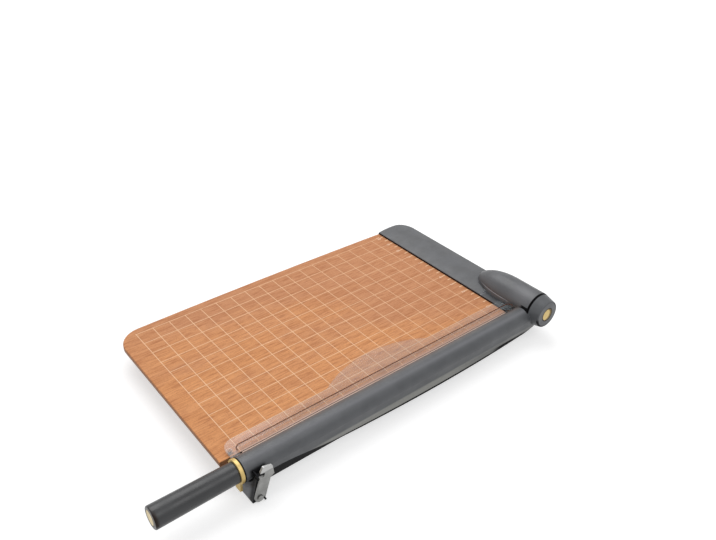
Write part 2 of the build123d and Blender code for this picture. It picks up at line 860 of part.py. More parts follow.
with BuildPart() as cutting_blade:
    with BuildSketch(side_plane(blade_x)):
        with BuildLine():
            ThreePointArc(
                (blade_front_y, top_z - blade_front_depth),
                ((blade_front_y + blade_back_y) / 2, top_z - blade_middle_depth),
                (blade_back_y, top_z - blade_back_depth),
            )
            Polyline(
                (blade_back_y, top_z - blade_back_depth),
                (blade_back_y, blade_top_z),
                (blade_front_y, blade_top_z),
                (blade_front_y, top_z - blade_front_depth),
            )
        make_face()
    extrude(amount=blade_thickness)
    outer_face = cutting_blade.faces().sort_by(Axis.X)[-1]
    chamfer(
        outer_face.edges().sort_by(Axis.Z)[0],
        length=blade_bevel_height, length2=blade_bevel_width, reference=outer_face,
    )
    with Locations(*blade_screw_seats):
        CounterSinkHole(
            screw_radius, screw_head_radius,
            depth=blade_screw_length, counter_sink_angle=countersink_angle,
        )
finish(cutting_blade, "cutting_blade")

with BuildPart() as blade_carrier:
    with BuildSketch(side_plane(carrier_x)):
        with Locations((blade_front_y, blade_top_z)):
            Rectangle(blade_back_y - blade_front_y, carrier_height, align=(Align.MIN, Align.MAX))
    extrude(amount=arm_left_x - carrier_x)
    chamfer(
        blade_carrier.faces().sort_by(Axis.Z)[0].edges().filter_by(Axis.Y).sort_by(Axis.X)[0],
        carrier_chamfer,
    )
    with Locations(*blade_screw_seats):
        Hole(screw_radius, depth=blade_screw_length)
finish(blade_carrier, "blade_carrier")

with BuildPart() as blade_screws:
    with Locations(*blade_screw_seats):
        flush_screw(blade_screw_length)
finish(blade_screws, "blade_screws")

# Collar with its tongue
collar_back_y = tube_front_y
collar_front_y = collar_back_y - collar_width
with BuildPart() as arm_collar:
    with BuildSketch(cross_plane(collar_back_y)):
        with Locations((arm_x, arm_z)):
            Circle(collar_radius)
    extrude(amount=collar_width)
    fillet(arm_collar.edges(), collar_edge)
    with BuildSketch(cross_plane(collar_back_y - (collar_width - tongue_thickness) / 2)) as tongue:
        with Locations((arm_x + tongue_offset, arm_z)):
            Rectangle(tongue_width, tongue_drop, align=(Align.CENTER, Align.MAX))
        fillet(tongue.vertices().group_by(Axis.Y)[0], tongue_corner_radius)
    extrude(amount=tongue_thickness)
    with BuildSketch(cross_plane(collar_back_y)):
        with Locations((arm_x, arm_z)):
            Circle(core_radius)
    extrude(amount=collar_width, mode=Mode.SUBTRACT)
finish(arm_collar, "arm_collar")

# Handle, a little wider at its free end
with BuildPart() as handle_grip:
    with BuildSketch(Plane.XY.offset(arm_z)):
        with BuildLine():
            Polyline(
                (arm_x, collar_front_y),
                (arm_x + handle_back_radius, collar_front_y),
                (arm_x + handle_front_radius, handle_end_y),
                (arm_x, handle_end_y),
                close=True,
            )
        make_face()
    revolve(axis=arm_axis)
    fillet(handle_grip.faces().sort_by(Axis.Y)[0].edges(), handle_edge_radius)
    with BuildSketch(cross_plane(collar_front_y)):
        with Locations((arm_x, arm_z)):
            Circle(core_radius)
    extrude(amount=collar_front_y - handle_end_y - core_front_inset, mode=Mode.SUBTRACT)
    with BuildSketch(cross_plane(handle_end_y)):
        with Locations((arm_x, arm_z)):
            Circle(end_cap_radius)
    extrude(amount=-end_cap_thickness, mode=Mode.SUBTRACT)
finish(handle_grip, "handle_grip")

with BuildPart() as handle_end_cap:
    with BuildSketch(cross_plane(handle_end_y)):
        with Locations((arm_x, arm_z)):
            Circle(end_cap_radius)
    extrude(amount=-end_cap_thickness)
    fillet(handle_end_cap.faces().sort_by(Axis.Y)[0].edges(), pivot_cap_edge)
finish(handle_end_cap, "handle_end_cap")

# Front block with the saddle and the ear for the latch
saddle_radius = arm_radius + saddle_clearance
guard_return_x = arm_left_x - guard_end_gap
bumper_top_z = arm_z - arm_radius - rest_clearance
bumper_y = (block_front_y + block_back_y + block_lean) / 2
with BuildPart() as front_block:
    # Side view: both ends lean back towards the top
    with BuildSketch(side_plane(batten_right_x)):
        with BuildLine():
            Polyline(
                (block_front_y, block_bottom_z),
                (block_back_y, block_bottom_z),
                (block_back_y + block_lean, arm_z + ear_height),
                (block_front_y + block_lean, arm_z + ear_height),
                close=True,
            )
        make_face()
    extrude(amount=pin_x - batten_right_x)
    fillet(
        front_block.faces().sort_by(Axis.X)[-1].edges().sort_by(Axis.Z)[0:1]
        + front_block.faces().sort_by(Axis.X)[-1].edges().sort_by(Axis.Y)[0:1],
        block_edge_radius,
    )
    # Front view: a saddle for the arm, an ear on the right, room for the bed on the left
    with BuildSketch(cross_plane(block_back_y + block_lean + overrun)):
        with BuildLine():
            Polyline(
                (cut_x + fit_clearance, top_z),
                (cut_x + fit_clearance, board_bottom_z - fit_clearance),
                (batten_right_x, board_bottom_z - fit_clearance),
                (batten_right_x, block_bottom_z),
                (pin_x, block_bottom_z),
                (pin_x, arm_z + ear_height),
                (pin_x - ear_thickness, arm_z + ear_height),
                (pin_x - ear_thickness, arm_z),
            )
            ThreePointArc(
                (pin_x - ear_thickness, arm_z),
                (arm_x, arm_z - saddle_radius),
                (arm_x - saddle_radius, arm_z),
            )
            Line((arm_x - saddle_radius, arm_z), (cut_x + fit_clearance, top_z))
        make_face()
    extrude(amount=block_length + block_lean + 2 * overrun, mode=Mode.INTERSECT)
    # Pocket that the blade comes down into
    with BuildSketch(Plane.XY.offset(top_z - blade_pocket_drop)):
        with Locations((batten_right_x - overrun, cut_start_y - blade_pocket_lead)):
            Rectangle(
                arm_left_x + saddle_clearance - batten_right_x + overrun, block_length + block_lean,
                align=(Align.MIN, Align.MIN),
            )
    extrude(amount=blade_pocket_drop + overrun, mode=Mode.SUBTRACT)
    with BuildSketch(Plane.XY.offset(bumper_top_z)):
        with Locations((arm_x, bumper_y)):
            Rectangle(bumper_width, bumper_length)
    extrude(amount=-bumper_height, mode=Mode.SUBTRACT)
    with Locations(*block_screw_seats):
        Hole(screw_radius, depth=block_screw_length)
    with BuildSketch(side_plane(pin_x)):
        with Locations((pin_y, pin_z)):
            Circle(lever_pin_radius)
    extrude(amount=-lever_pin_depth, mode=Mode.SUBTRACT)
    with BuildSketch(side_plane(pin_x)):
        with Locations((stop_y, stop_z)):
            Circle(stop_radius)
    extrude(amount=-stop_depth, mode=Mode.SUBTRACT)
finish(front_block, "front_block")

with BuildPart() as block_screws:
    with Locations(*block_screw_seats):
        pan_screw(block_screw_length, screw_head_height)
finish(block_screws, "block_screws")

with BuildPart() as arm_bumper:
    with BuildSketch(Plane.XY.offset(bumper_top_z)):
        with Locations((arm_x, bumper_y)):
            Rectangle(bumper_width, bumper_length)
    extrude(amount=-bumper_height)
finish(arm_bumper, "arm_bumper")

# Latch: pin, stop, hook-shaped lever, and the stud on the arm
with BuildPart() as latch_pin:
    with BuildSketch(side_plane(lever_x + lever_thickness + latch_gap)):
        with Locations((pin_y, pin_z)):
            Circle(lever_pin_head_radius)
    extrude(amount=lever_pin_head_height)
    fillet(latch_pin.faces().sort_by(Axis.X)[-1].edges(), lever_pin_head_height / 2)
    with BuildSketch(side_plane(lever_x + lever_thickness + latch_gap)):
        with Locations((pin_y, pin_z)):
            Circle(lever_pin_radius)
    extrude(amount=-(2 * latch_gap + lever_thickness + lever_pin_depth))
finish(latch_pin, "latch_pin")

with BuildPart() as latch_stop:
    with BuildSketch(side_plane(lever_x + lever_thickness + stop_reach)):
        with Locations((stop_y, stop_z)):
            Circle(stop_radius)
    extrude(amount=-(stop_reach + lever_thickness + latch_gap + stop_depth))
    fillet(latch_stop.faces().sort_by(Axis.X)[-1].edges(), stop_radius / 3)
finish(latch_stop, "latch_stop")

lever_plane = Plane(
    origin=(lever_x, pin_y, pin_z), x_dir=(0, cos(lean), -sin(lean)), z_dir=(1, 0, 0),
)
lever_foot = min(lever_front_width, lever_back_width)
notch_low = notch_rise - notch_height / 2
notch_high = notch_rise + notch_height / 2
with BuildPart() as latch_lever:
    with BuildSketch(lever_plane) as lever_outline:
        with BuildLine():
            Polyline(
                (-lever_front_width, 0),
                (-lever_front_width, lever_shoulder),
                (-beak_width, notch_low),
                (-beak_width, notch_high + notch_height / 4),
                (-beak_top_width, lever_length),
                (lever_head_width, lever_length),
                (ledge_width, lever_ledge),
                (lever_back_width, lever_shoulder),
                (lever_back_width, 0),
                close=True,
            )
        make_face()
        fillet(lever_outline.vertices().filter_by(lambda v: v.Y > notch_high), lever_corner_radius)
        Circle(lever_foot)
        Rectangle(lever_back_width, lever_heel, align=(Align.MIN, Align.MAX))
        with Locations((-beak_width, notch_rise)):
            Rectangle(notch_depth, notch_height, align=(Align.MIN, Align.CENTER), mode=Mode.SUBTRACT)
        Circle(lever_pin_radius + running_clearance, mode=Mode.SUBTRACT)
    extrude(amount=lever_thickness)
finish(latch_lever, "latch_lever")

with BuildPart() as catch_stud:
    with BuildSketch(side_plane(stud_seat_x)):
        with Locations((stud_y, stud_z)):
            Circle(stud_radius)
    extrude(amount=lever_x + stud_grip - stud_seat_x)
finish(catch_stud, "catch_stud")

# Clear guard: flat lip, upright wall, and a press tab
guard_front_y = cut_start_y - guard_front
wall_x = cut_x - guard_edge_gap - guard_thickness / 2
tab_y = cut_start_y + tab_middle
with BuildPart() as guard:
    with BuildSketch(Plane.XY.offset(shelf_z)) as lip_plan:
        with Locations((guard_left_x, guard_front_y)):
            Rectangle(guard_width, guard_back_y - guard_front_y, align=(Align.MIN, Align.MIN))
        fillet(lip_plan.vertices().group_by(Axis.X)[0].sort_by(Axis.Y)[0], guard_corner_radius)
        with Locations((wall_x, guard_front_y)):
            Rectangle(
                guard_return_x - wall_x, guard_front - guard_wall_front + guard_thickness / 2,
                align=(Align.MIN, Align.MIN),
            )
        with Locations((wall_x, guard_back_y)):
            Rectangle(guard_return_x - wall_x, guard_back_return, align=(Align.MIN, Align.MAX))
        fillet(lip_plan.vertices().group_by(Axis.Y)[-1].sort_by(Axis.X)[-1], guard_back_radius)
        with BuildLine():
            ThreePointArc(
                (guard_left_x, tab_y - tab_half_length),
                (guard_left_x - tab_reach, tab_y),
                (guard_left_x, tab_y + tab_half_length),
            )
            Line((guard_left_x, tab_y + tab_half_length), (guard_left_x, tab_y - tab_half_length))
        make_face()
    extrude(amount=guard_thickness)
    with BuildSketch(Plane.XY.offset(shelf_z)):
        with BuildLine():
            FilletPolyline(
                (guard_return_x, guard_back_y - guard_thickness),
                (wall_x, guard_back_y - guard_thickness),
                (wall_x, cut_start_y - guard_wall_front),
                (guard_return_x, cut_start_y - guard_wall_front),
                radius=guard_wall_corner_radius,
            )
        trace(line_width=guard_thickness)
    extrude(amount=guard_wall_height)
    with Locations(*guard_front_seats, *guard_back_seats):
        Hole(screw_radius, depth=guard_thickness)
finish(guard, "guard")

with BuildPart() as guard_spacer:
    with BuildSketch(Plane.XY.offset(top_z)):
        with Locations((spacer_x, spacer_y)):
            Rectangle(spacer_width, spacer_length)
            Circle(screw_radius, mode=Mode.SUBTRACT)
    extrude(amount=paper_gap)
finish(guard_spacer, "guard_spacer")

with BuildPart() as guard_screws:
    with Locations(*guard_front_seats):
        pan_screw(guard_front_screw_length, guard_screw_head_height)
    with Locations(*guard_back_seats):
        pan_screw(guard_screw_length, guard_screw_head_height)
finish(guard_screws, "guard_screws")
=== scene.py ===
"""Paper cutter with a wooden bed, a clear guard and a hinged blade arm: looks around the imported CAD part."""

import logging
import math
from dataclasses import dataclass
from enum import Enum
from typing import Iterable, Optional, Sequence, Union

import bmesh
import bpy
from mathutils import Matrix, Vector


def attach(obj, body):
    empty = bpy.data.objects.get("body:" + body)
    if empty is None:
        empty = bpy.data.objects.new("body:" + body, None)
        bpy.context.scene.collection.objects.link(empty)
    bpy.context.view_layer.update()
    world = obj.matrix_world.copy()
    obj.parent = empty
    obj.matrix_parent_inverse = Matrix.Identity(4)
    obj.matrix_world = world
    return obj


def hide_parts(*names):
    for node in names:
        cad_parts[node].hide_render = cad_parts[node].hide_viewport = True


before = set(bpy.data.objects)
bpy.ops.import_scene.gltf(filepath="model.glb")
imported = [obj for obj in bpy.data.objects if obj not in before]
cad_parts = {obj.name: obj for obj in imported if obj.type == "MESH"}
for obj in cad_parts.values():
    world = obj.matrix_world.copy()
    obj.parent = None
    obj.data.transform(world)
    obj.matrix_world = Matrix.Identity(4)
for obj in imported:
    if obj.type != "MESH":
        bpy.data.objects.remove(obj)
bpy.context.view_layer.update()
LOG = logging.getLogger("paper_cutter")

Colour = tuple[float, float, float, float]
Socket = bpy.types.NodeSocket
Value = Union[float, Sequence[float], Socket]
Span = tuple[float, float]
Triple = tuple[float, float, float]
Corner = tuple[Optional[float], Optional[float], Optional[float]]

# Places on the part that several classes share, in metres
INCH = 0.0254
FIRST_LINE_X = 0.0967
FENCE_Y = 0.2607
BED_TOP = 0.0370
PIVOT = (0.2955, 0.0450)
OPEN: Corner = (None, None, None)

# Blend of a zone's edge that looks sharp, in metres
SHARP = 0.0002

# Rays for which the floor and the sky are white
SEEN_RAYS = ("Is Camera Ray", "Is Glossy Ray", "Is Transmission Ray")


def srgb(red: float, green: float, blue: float) -> Colour:
    """Turns a colour as seen on a screen into the linear one that shaders take.

    Args:
        red: Red, from 0 to 255.
        green: Green, from 0 to 255.
        blue: Blue, from 0 to 255.

    Returns:
        The linear colour, opaque.
    """
    def straighten(level: float) -> float:
        """One channel, from the screen's curve to linear light."""
        share = level / 255.0
        return share / 12.92 if share <= 0.04045 else ((share + 0.055) / 1.055) ** 2.4

    return (straighten(red), straighten(green), straighten(blue), 1.0)


# Colours that several finishes share
# Black that zones lay as painted shade in gaps, seams and shaded corners
SHADE_BLACK = srgb(22, 22, 23)
GOLD, OLD_GOLD = srgb(200, 176, 118), srgb(174, 148, 92)
STEEL, DULL_STEEL = srgb(206, 208, 210), srgb(180, 182, 184)


class Facing(Enum):
    """Direction that a screw's head faces."""

    UP = Vector((0.0, 0.0, 1.0))
    DOWN = Vector((0.0, 0.0, -1.0))
    RIGHT = Vector((1.0, 0.0, 0.0))
    LEFT = Vector((-1.0, 0.0, 0.0))


class HeadForm(Enum):
    """Form of a screw's head: standing proud, or sunk level with the surface."""

    PAN = "pan"
    FLUSH = "flush"


class Body(Enum):
    """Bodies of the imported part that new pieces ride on."""

    BASE = "base"
    ARM = "arm"


@dataclass(frozen=True)
class Relief:
    """An embossed surface: how much of it shows, its depth, and the radius that edges are shaded with."""

    strength: float
    depth: float
    rounding: float = 0.0


class Graph:
    """A material's node tree, built one node at a time around a Principled shader."""

    bevel_samples = 6
    edge_turns = (0.995, 0.80)

    def __init__(self, name: str) -> None:
        """Starts an empty material.

        Args:
            name: The material's name.
        """
        self.material = bpy.data.materials.new(name)
        self.material.use_nodes = True
        self.tree = self.material.node_tree
        self.tree.nodes.clear()
        self.surface = self.add("ShaderNodeBsdfPrincipled")
        output = self.add("ShaderNodeOutputMaterial")
        self.tree.links.new(self.surface.outputs["BSDF"], output.inputs["Surface"])

    def add(self, kind: str, **settings: object) -> bpy.types.Node:
        """Adds a node.

        Args:
            kind: Blender's type name of the node.
            settings: Properties to set on it.

        Returns:
            The new node.
        """
        node = self.tree.nodes.new(kind)
        for name, setting in settings.items():
            setattr(node, name, setting)
        return node

    def feed(self, socket: Socket, value: Value) -> None:
        """Links a socket to another one, or sets it to a number or colour.

        Args:
            socket: The input to feed.
            value: What goes into it.
        """
        if isinstance(value, bpy.types.NodeSocket):
            self.tree.links.new(value, socket)
        else:
            socket.default_value = value

    def shade(self, **inputs: Value) -> None:
        """Feeds inputs of the Principled shader, with underscores for the spaces in their names."""
        for name, value in inputs.items():
            self.feed(self.surface.inputs[name.replace("_", " ")], value)

    def place(self) -> Socket:
        """The point's place in the part's own frame, in metres."""
        return self.add("ShaderNodeTexCoord").outputs["Object"]

    def facing(self) -> Socket:
        """The surface's own direction in the part's frame."""
        return self.add("ShaderNodeTexCoord").outputs["Normal"]

    def split(self, vector: Socket) -> tuple[Socket, Socket, Socket]:
        """The three parts of a vector."""
        node = self.add("ShaderNodeSeparateXYZ")
        self.feed(node.inputs[0], vector)
        return node.outputs[0], node.outputs[1], node.outputs[2]

    def away(self, vector: Socket, sides: tuple[int, int], axis: Span) -> Socket:
        """How far a point is from an axis that runs along X, Y or Z.

        Args:
            vector: The point.
            sides: The two sides, as 0 to 2, that the axis is square to.
            axis: The axis's place on those sides.

        Returns:
            The distance.
        """
        parts = self.split(vector)
        legs = [self.math("SUBTRACT", parts[side], middle) for side, middle in zip(sides, axis)]
        return self.math("SQRT", self.math("ADD", *(self.math("MULTIPLY", leg, leg) for leg in legs)))

    def math(self, operation: str, first: Value, second: Value = 0.0) -> Socket:
        """A Math node's result.

        Args:
            operation: The node's operation.
            first: Its first value.
            second: Its second value.

        Returns:
            The result.
        """
        node = self.add("ShaderNodeMath", operation=operation)
        self.feed(node.inputs[0], first)
        self.feed(node.inputs[1], second)
        return node.outputs[0]

    def product(self, first: Value, *others: Value) -> Value:
        """All values multiplied with each other."""
        for other in others:
            first = self.math("MULTIPLY", first, other)
        return first

    def ease(self, value: Value, start: float, end: float, low: float = 0.0, high: float = 1.0) -> Socket:
        """Carries a value smoothly from one range to another, held at both ends.

        Args:
            value: The value.
            start: Value that gives low.
            end: Value that gives high.
            low: Result at start.
            high: Result at end.

        Returns:
            The carried value.
        """
        node = self.add("ShaderNodeMapRange", interpolation_type="SMOOTHSTEP")
        for name, number in (("Value", value), ("From Min", start), ("From Max", end),
                             ("To Min", low), ("To Max", high)):
            self.feed(node.inputs[name], number)
        return node.outputs[0]

    def mix(self, share: Value, low: Value, high: Value) -> Socket:
        """Mixes two colours.

        Args:
            share: Share of the second colour.
            low: First colour.
            high: Second colour.

        Returns:
            The mixed colour.
        """
        node = self.add("ShaderNodeMix", data_type="RGBA")
        for socket, value in ((node.inputs[0], share), (node.inputs[6], low), (node.inputs[7], high)):
            self.feed(socket, value)
        return node.outputs[2]

    def bevel(self, radius: float) -> Socket:
        """The surface's direction with its edges rounded by a radius."""
        node = self.add("ShaderNodeBevel", samples=self.bevel_samples)
        self.feed(node.inputs["Radius"], radius)
        return node.outputs[0]

    def bump(self, height: Socket, relief: Relief) -> None:
        """Gives the surface a relief.

        Args:
            height: The relief's level, from 0 to 1.
            relief: Its strength, depth and rounding.
        """
        node = self.add("ShaderNodeBump")
        for name, value in (("Height", height), ("Strength", relief.strength), ("Distance", relief.depth)):
            self.feed(node.inputs[name], value)
        if relief.rounding:
            self.feed(node.inputs["Normal"], self.bevel(relief.rounding))
        self.shade(Normal=node.outputs[0])

    def edges(self, radius: float) -> Socket:
        """A mask that is 1 along edges and 0 on open faces.

        Args:
            radius: How far the mask reaches from an edge, in metres.

        Returns:
            The mask.
        """
        turn = self.add("ShaderNodeVectorMath", operation="DOT_PRODUCT")
        self.feed(turn.inputs[0], self.bevel(radius))
        self.feed(turn.inputs[1], self.add("ShaderNodeNewGeometry").outputs["Normal"])
        return self.ease(turn.outputs["Value"], *self.edge_turns)


@dataclass(frozen=True)
class Noise:
    """Soft noise in the part's frame, of so many features to the metre.

    Factors under 1 draw it out along an axis. Its levels between two bounds are spread from 0 to 1.
    """

    scale: float
    detail: float
    levels: Span = (0.0, 1.0)
    drawn: Triple = (1.0, 1.0, 1.0)

    def raw(self, graph: Graph) -> Socket:
        """The noise itself, from 0 to 1.

        Args:
            graph: The material being made.

        Returns:
            The noise.
        """
        mapping = graph.add("ShaderNodeMapping")
        graph.feed(mapping.inputs["Vector"], graph.place())
        graph.feed(mapping.inputs["Scale"], self.drawn)
        node = graph.add("ShaderNodeTexNoise")
        for name, value in (("Vector", mapping.outputs[0]), ("Scale", self.scale), ("Detail", self.detail)):
            graph.feed(node.inputs[name], value)
        return node.outputs["Fac"]

    def level(self, graph: Graph, low: float = 0.0, high: float = 1.0) -> Socket:
        """The noise, with its levels spread between two results."""
        return graph.ease(self.raw(graph), *self.levels, low, high)


@dataclass(frozen=True)
class Zone:
    """A soft-edged box in the part's frame in which a finish takes another colour.

    A side that is None is open. A matt zone also loses its gloss.
    """

    colour: Colour
    low: Corner = OPEN
    high: Corner = OPEN
    soft: Triple = (SHARP, SHARP, SHARP)
    share: float = 1.0
    matt: bool = True

    def limits(self, graph: Graph) -> list[Socket]:
        """Masks that narrow the box, of which a plain box has none."""
        return []

    def mask(self, graph: Graph) -> Value:
        """The zone's mask.

        Args:
            graph: The material being made.

        Returns:
            The mask, which is the zone's share inside and 0 outside.
        """
        inside: Value = self.share
        for value, low, high, soft in zip(graph.split(graph.place()), self.low, self.high, self.soft):
            if low is not None:
                inside = graph.product(inside, graph.ease(value, low - soft, low + soft))
            if high is not None:
                inside = graph.product(inside, graph.ease(value, high + soft, high - soft))
        return graph.product(inside, *self.limits(graph))


@dataclass(frozen=True)
class RoundZone(Zone):
    """A zone that is kept only between two distances from an axis, which runs along the third side."""

    sides: tuple[int, int] = (1, 2)
    axis: Span = PIVOT
    inner: float = 0.0
    outer: float = 0.0300

    def limits(self, graph: Graph) -> list[Socket]:
        """A mask of what is nearer than the outer distance, and one of what is past the inner one."""
        away = graph.away(graph.place(), self.sides, self.axis)
        kept = [graph.ease(away, self.outer + SHARP, self.outer - SHARP)]
        if self.inner:
            kept.append(graph.ease(away, self.inner - SHARP, self.inner + SHARP))
        return kept


@dataclass(frozen=True)
class SlopedZone(Zone):
    """A zone whose top falls from one height to another along Y."""

    tops: Span = (0.0285, 0.0168)
    slope: Span = (-0.1750, -0.0700)

    def limits(self, graph: Graph) -> list[Socket]:
        """A mask of what is under the falling top."""
        _, along, height = graph.split(graph.place())
        top = graph.ease(along, *self.slope, *self.tops)
        return [graph.ease(graph.math("SUBTRACT", top, height), -SHARP, SHARP)]


@dataclass(frozen=True)
class FacingZone(Zone):
    """A zone on faces that look to the front only."""

    turns: Span = (-0.5, -0.85)

    def limits(self, graph: Graph) -> list[Socket]:
        """A mask of the faces that look to the front."""
        return [graph.ease(graph.split(graph.facing())[1], *self.turns)]


def lay_zones(graph: Graph, body: Socket, zones: Iterable[Zone]) -> tuple[Socket, Optional[Value]]:
    """Lays zones of other colours over a finish.

    Args:
        graph: The material being made.
        body: The finish's own colour.
        zones: The zones, in order.

    Returns:
        The colour with the zones in it, and the mask of the matt ones, if there are any.
    """
    dull: Optional[Value] = None
    for zone in zones:
        mask = zone.mask(graph)
        body = graph.mix(mask, body, zone.colour)
        if zone.matt:
            dull = mask if dull is None else graph.math("MAXIMUM", mask, dull)
    return body, dull


@dataclass(frozen=True)
class MouldedPlastic:
    """Satin plastic with a fine moulded grain, edges lightened partly by wear and partly as a painted
    highlight, and zones of other colours.
    """

    name: str
    colour: Colour
    worn: Colour
    roughness: float = 0.42
    zones: tuple[Zone, ...] = ()
    rough: Noise = Noise(55.0, 3.0, (0.3, 0.7))
    rough_spread: Span = (-0.06, 0.08)
    gloss: Span = (0.5, 0.06)
    mottle: Noise = Noise(38.0, 4.0, (0.35, 0.65))
    mottle_share: float = 0.10
    edge_reach: float = 0.0010
    edge_share: float = 0.45
    grain: Noise = Noise(2600.0, 2.0)
    relief: Relief = Relief(0.35, 0.00012, 0.0005)

    def material(self) -> bpy.types.Material:
        """Makes the material."""
        graph = Graph(self.name)
        body = graph.mix(self.mottle.level(graph, 0.0, self.mottle_share), self.colour, self.worn)
        # Edges lightened to the worn colour: partly wear, partly a painted highlight on the rounded edges.
        rubbed = graph.product(graph.edges(self.edge_reach), self.edge_share)
        body, dull = lay_zones(graph, graph.mix(rubbed, body, self.worn), self.zones)
        graph.shade(Base_Color=body)
        if dull is not None:
            graph.shade(Specular_IOR_Level=graph.ease(dull, 0.0, 1.0, *self.gloss))
        low, high = (self.roughness + change for change in self.rough_spread)
        graph.shade(Roughness=self.rough.level(graph, low, high))
        graph.bump(self.grain.raw(graph), self.relief)
        return graph.material


@dataclass(frozen=True)
class BedWood:
    """Lacquered wood with grain along the cut, a printed grid of one-inch squares and a rubbed cut edge."""

    name: str
    light: Colour = srgb(232, 164, 109)
    red: Colour = srgb(213, 152, 110)
    streak: Colour = srgb(172, 106, 68)
    side: Colour = srgb(158, 116, 90)
    side_turns: Span = (0.85, 0.25)
    side_share: float = 0.75
    clouds: Noise = Noise(14.0, 3.0, drawn=(1.0, 0.35, 1.0))
    cloud_levels: Span = (0.30, 0.70)
    # Slope of the wood's tone, across and along: painted light, so the bed is paler at its front right, as if
    # lit more there, and redder at its back left
    painted_light_drift: Span = (1.6, 0.9)
    bands: Noise = Noise(170.0, 5.0, (0.40, 0.66), (1.0, 0.05, 1.0))
    dashes: Noise = Noise(430.0, 4.0, (0.44, 0.70), (1.0, 0.11, 1.0))
    fibres: Noise = Noise(900.0, 4.0, (0.42, 0.72), (1.0, 0.03, 1.0))
    pores: Noise = Noise(640.0, 4.0, (0.46, 0.74))
    grain_shares: tuple[float, float, float, float] = (0.18, 0.55, 0.30, 0.40)
    gloss: float = 0.12
    rough: Span = (0.50, 0.62)
    relief: Relief = Relief(0.18, 0.0002, 0.0006)
    printed: bool = True
    cut_edge: Zone = Zone(srgb(198, 160, 140), (0.1166, -0.2045, BED_TOP - 0.0004),
                          soft=(0.0004, 0.0020, 0.0001), share=0.8)
    ink: Colour = srgb(248, 206, 166)
    line_half: float = 0.00048
    line_blend: Span = (1.25, 0.75)
    columns: int = 10
    right_x: float = 0.1214
    first_y: float = -0.1966
    rows: int = 17
    long_end: float = 0.2458
    fading: Span = (-0.0300, 0.2300)
    faded: float = 0.74
    tick_length: float = 0.0072
    tick_weight: float = 1.8
    wear: Noise = Noise(420.0, 4.0, (0.25, 0.55))
    wear_least: float = 0.65

    def line(self, graph: Graph, value: Socket, first: float, pitch: float, weight: float = 1.0) -> Socket:
        """A mask of lines one pitch apart.

        Args:
            graph: The material being made.
            value: Place along the axis that the lines cross.
            first: Place of one of the lines.
            pitch: Distance from line to line.
            weight: How many times wider than a grid line.

        Returns:
            The mask, 1 on a line.
        """
        steps = graph.math("DIVIDE", graph.math("SUBTRACT", value, first), pitch)
        offset = graph.math("ABSOLUTE", graph.math("SUBTRACT", steps, graph.math("ROUND", steps)))
        start, end = (self.line_half * weight * blend for blend in self.line_blend)
        return graph.ease(graph.product(offset, pitch), start, end)

    def within(self, graph: Graph, value: Socket, low: float, high: float) -> Value:
        """A mask that is 1 between two places along an axis."""
        return graph.product(graph.math("GREATER_THAN", value, low), graph.math("LESS_THAN", value, high))

    def grid(self, graph: Graph) -> Value:
        """The printed grid on the bed's top, a little worn, with ticks at the fence.

        Args:
            graph: The material being made.

        Returns:
            The mask, 1 where there is ink.
        """
        across, along, height = graph.split(graph.place())
        margin = self.line_half * 2.0
        left = FIRST_LINE_X - self.columns * INCH - margin
        front = self.first_y - margin
        back = self.first_y + self.rows * INCH + margin
        in_x = self.within(graph, across, left, self.right_x)
        long_lines = graph.product(self.line(graph, across, FIRST_LINE_X, INCH),
                                   self.within(graph, across, left, FIRST_LINE_X + margin),
                                   self.within(graph, along, front, self.long_end))
        cross_lines = graph.product(self.line(graph, along, self.first_y, INCH), in_x,
                                    self.within(graph, along, front, back))
        lines = graph.product(graph.math("MAXIMUM", long_lines, cross_lines),
                              graph.ease(along, *self.fading, 1.0, self.faded))
        ticks = graph.product(self.line(graph, across, FIRST_LINE_X, INCH / 2.0, self.tick_weight), in_x,
                              self.within(graph, along, FENCE_Y - self.tick_length, FENCE_Y))
        on_top = graph.math("GREATER_THAN", height, BED_TOP - SHARP)
        return graph.product(graph.math("MAXIMUM", lines, ticks), on_top,
                             self.wear.level(graph, self.wear_least, 1.0))

    def material(self) -> bpy.types.Material:
        """Makes the material."""
        graph = Graph(self.name)
        across, along, _ = graph.split(graph.place())
        # Painted light: the tone slopes from pale at the front right to red at the back left.
        drift_x, drift_y = self.painted_light_drift
        painted_light_drift = graph.math("SUBTRACT", graph.product(along, drift_y), graph.product(across, drift_x))
        patches = graph.ease(graph.math("ADD", self.clouds.raw(graph), painted_light_drift), *self.cloud_levels)
        body = graph.mix(patches, self.light, self.red)
        layers = [noise.level(graph) for noise in (self.bands, self.dashes, self.fibres, self.pores)]
        for layer, share in zip(layers, self.grain_shares):
            body = graph.mix(graph.product(layer, share), body, self.streak)
        upright = graph.ease(graph.split(graph.facing())[2], *self.side_turns)
        body = graph.mix(graph.product(upright, self.side_share), body, self.side)
        if self.printed:
            body = graph.mix(self.cut_edge.mask(graph), body, self.cut_edge.colour)
            body = graph.mix(self.grid(graph), body, self.ink)
        bands, _, fibres, _ = layers
        graph.shade(Base_Color=body, Specular_IOR_Level=self.gloss)
        graph.shade(Roughness=graph.ease(bands, 0.0, 1.0, *self.rough))
        graph.bump(fibres, self.relief)
        return graph.material


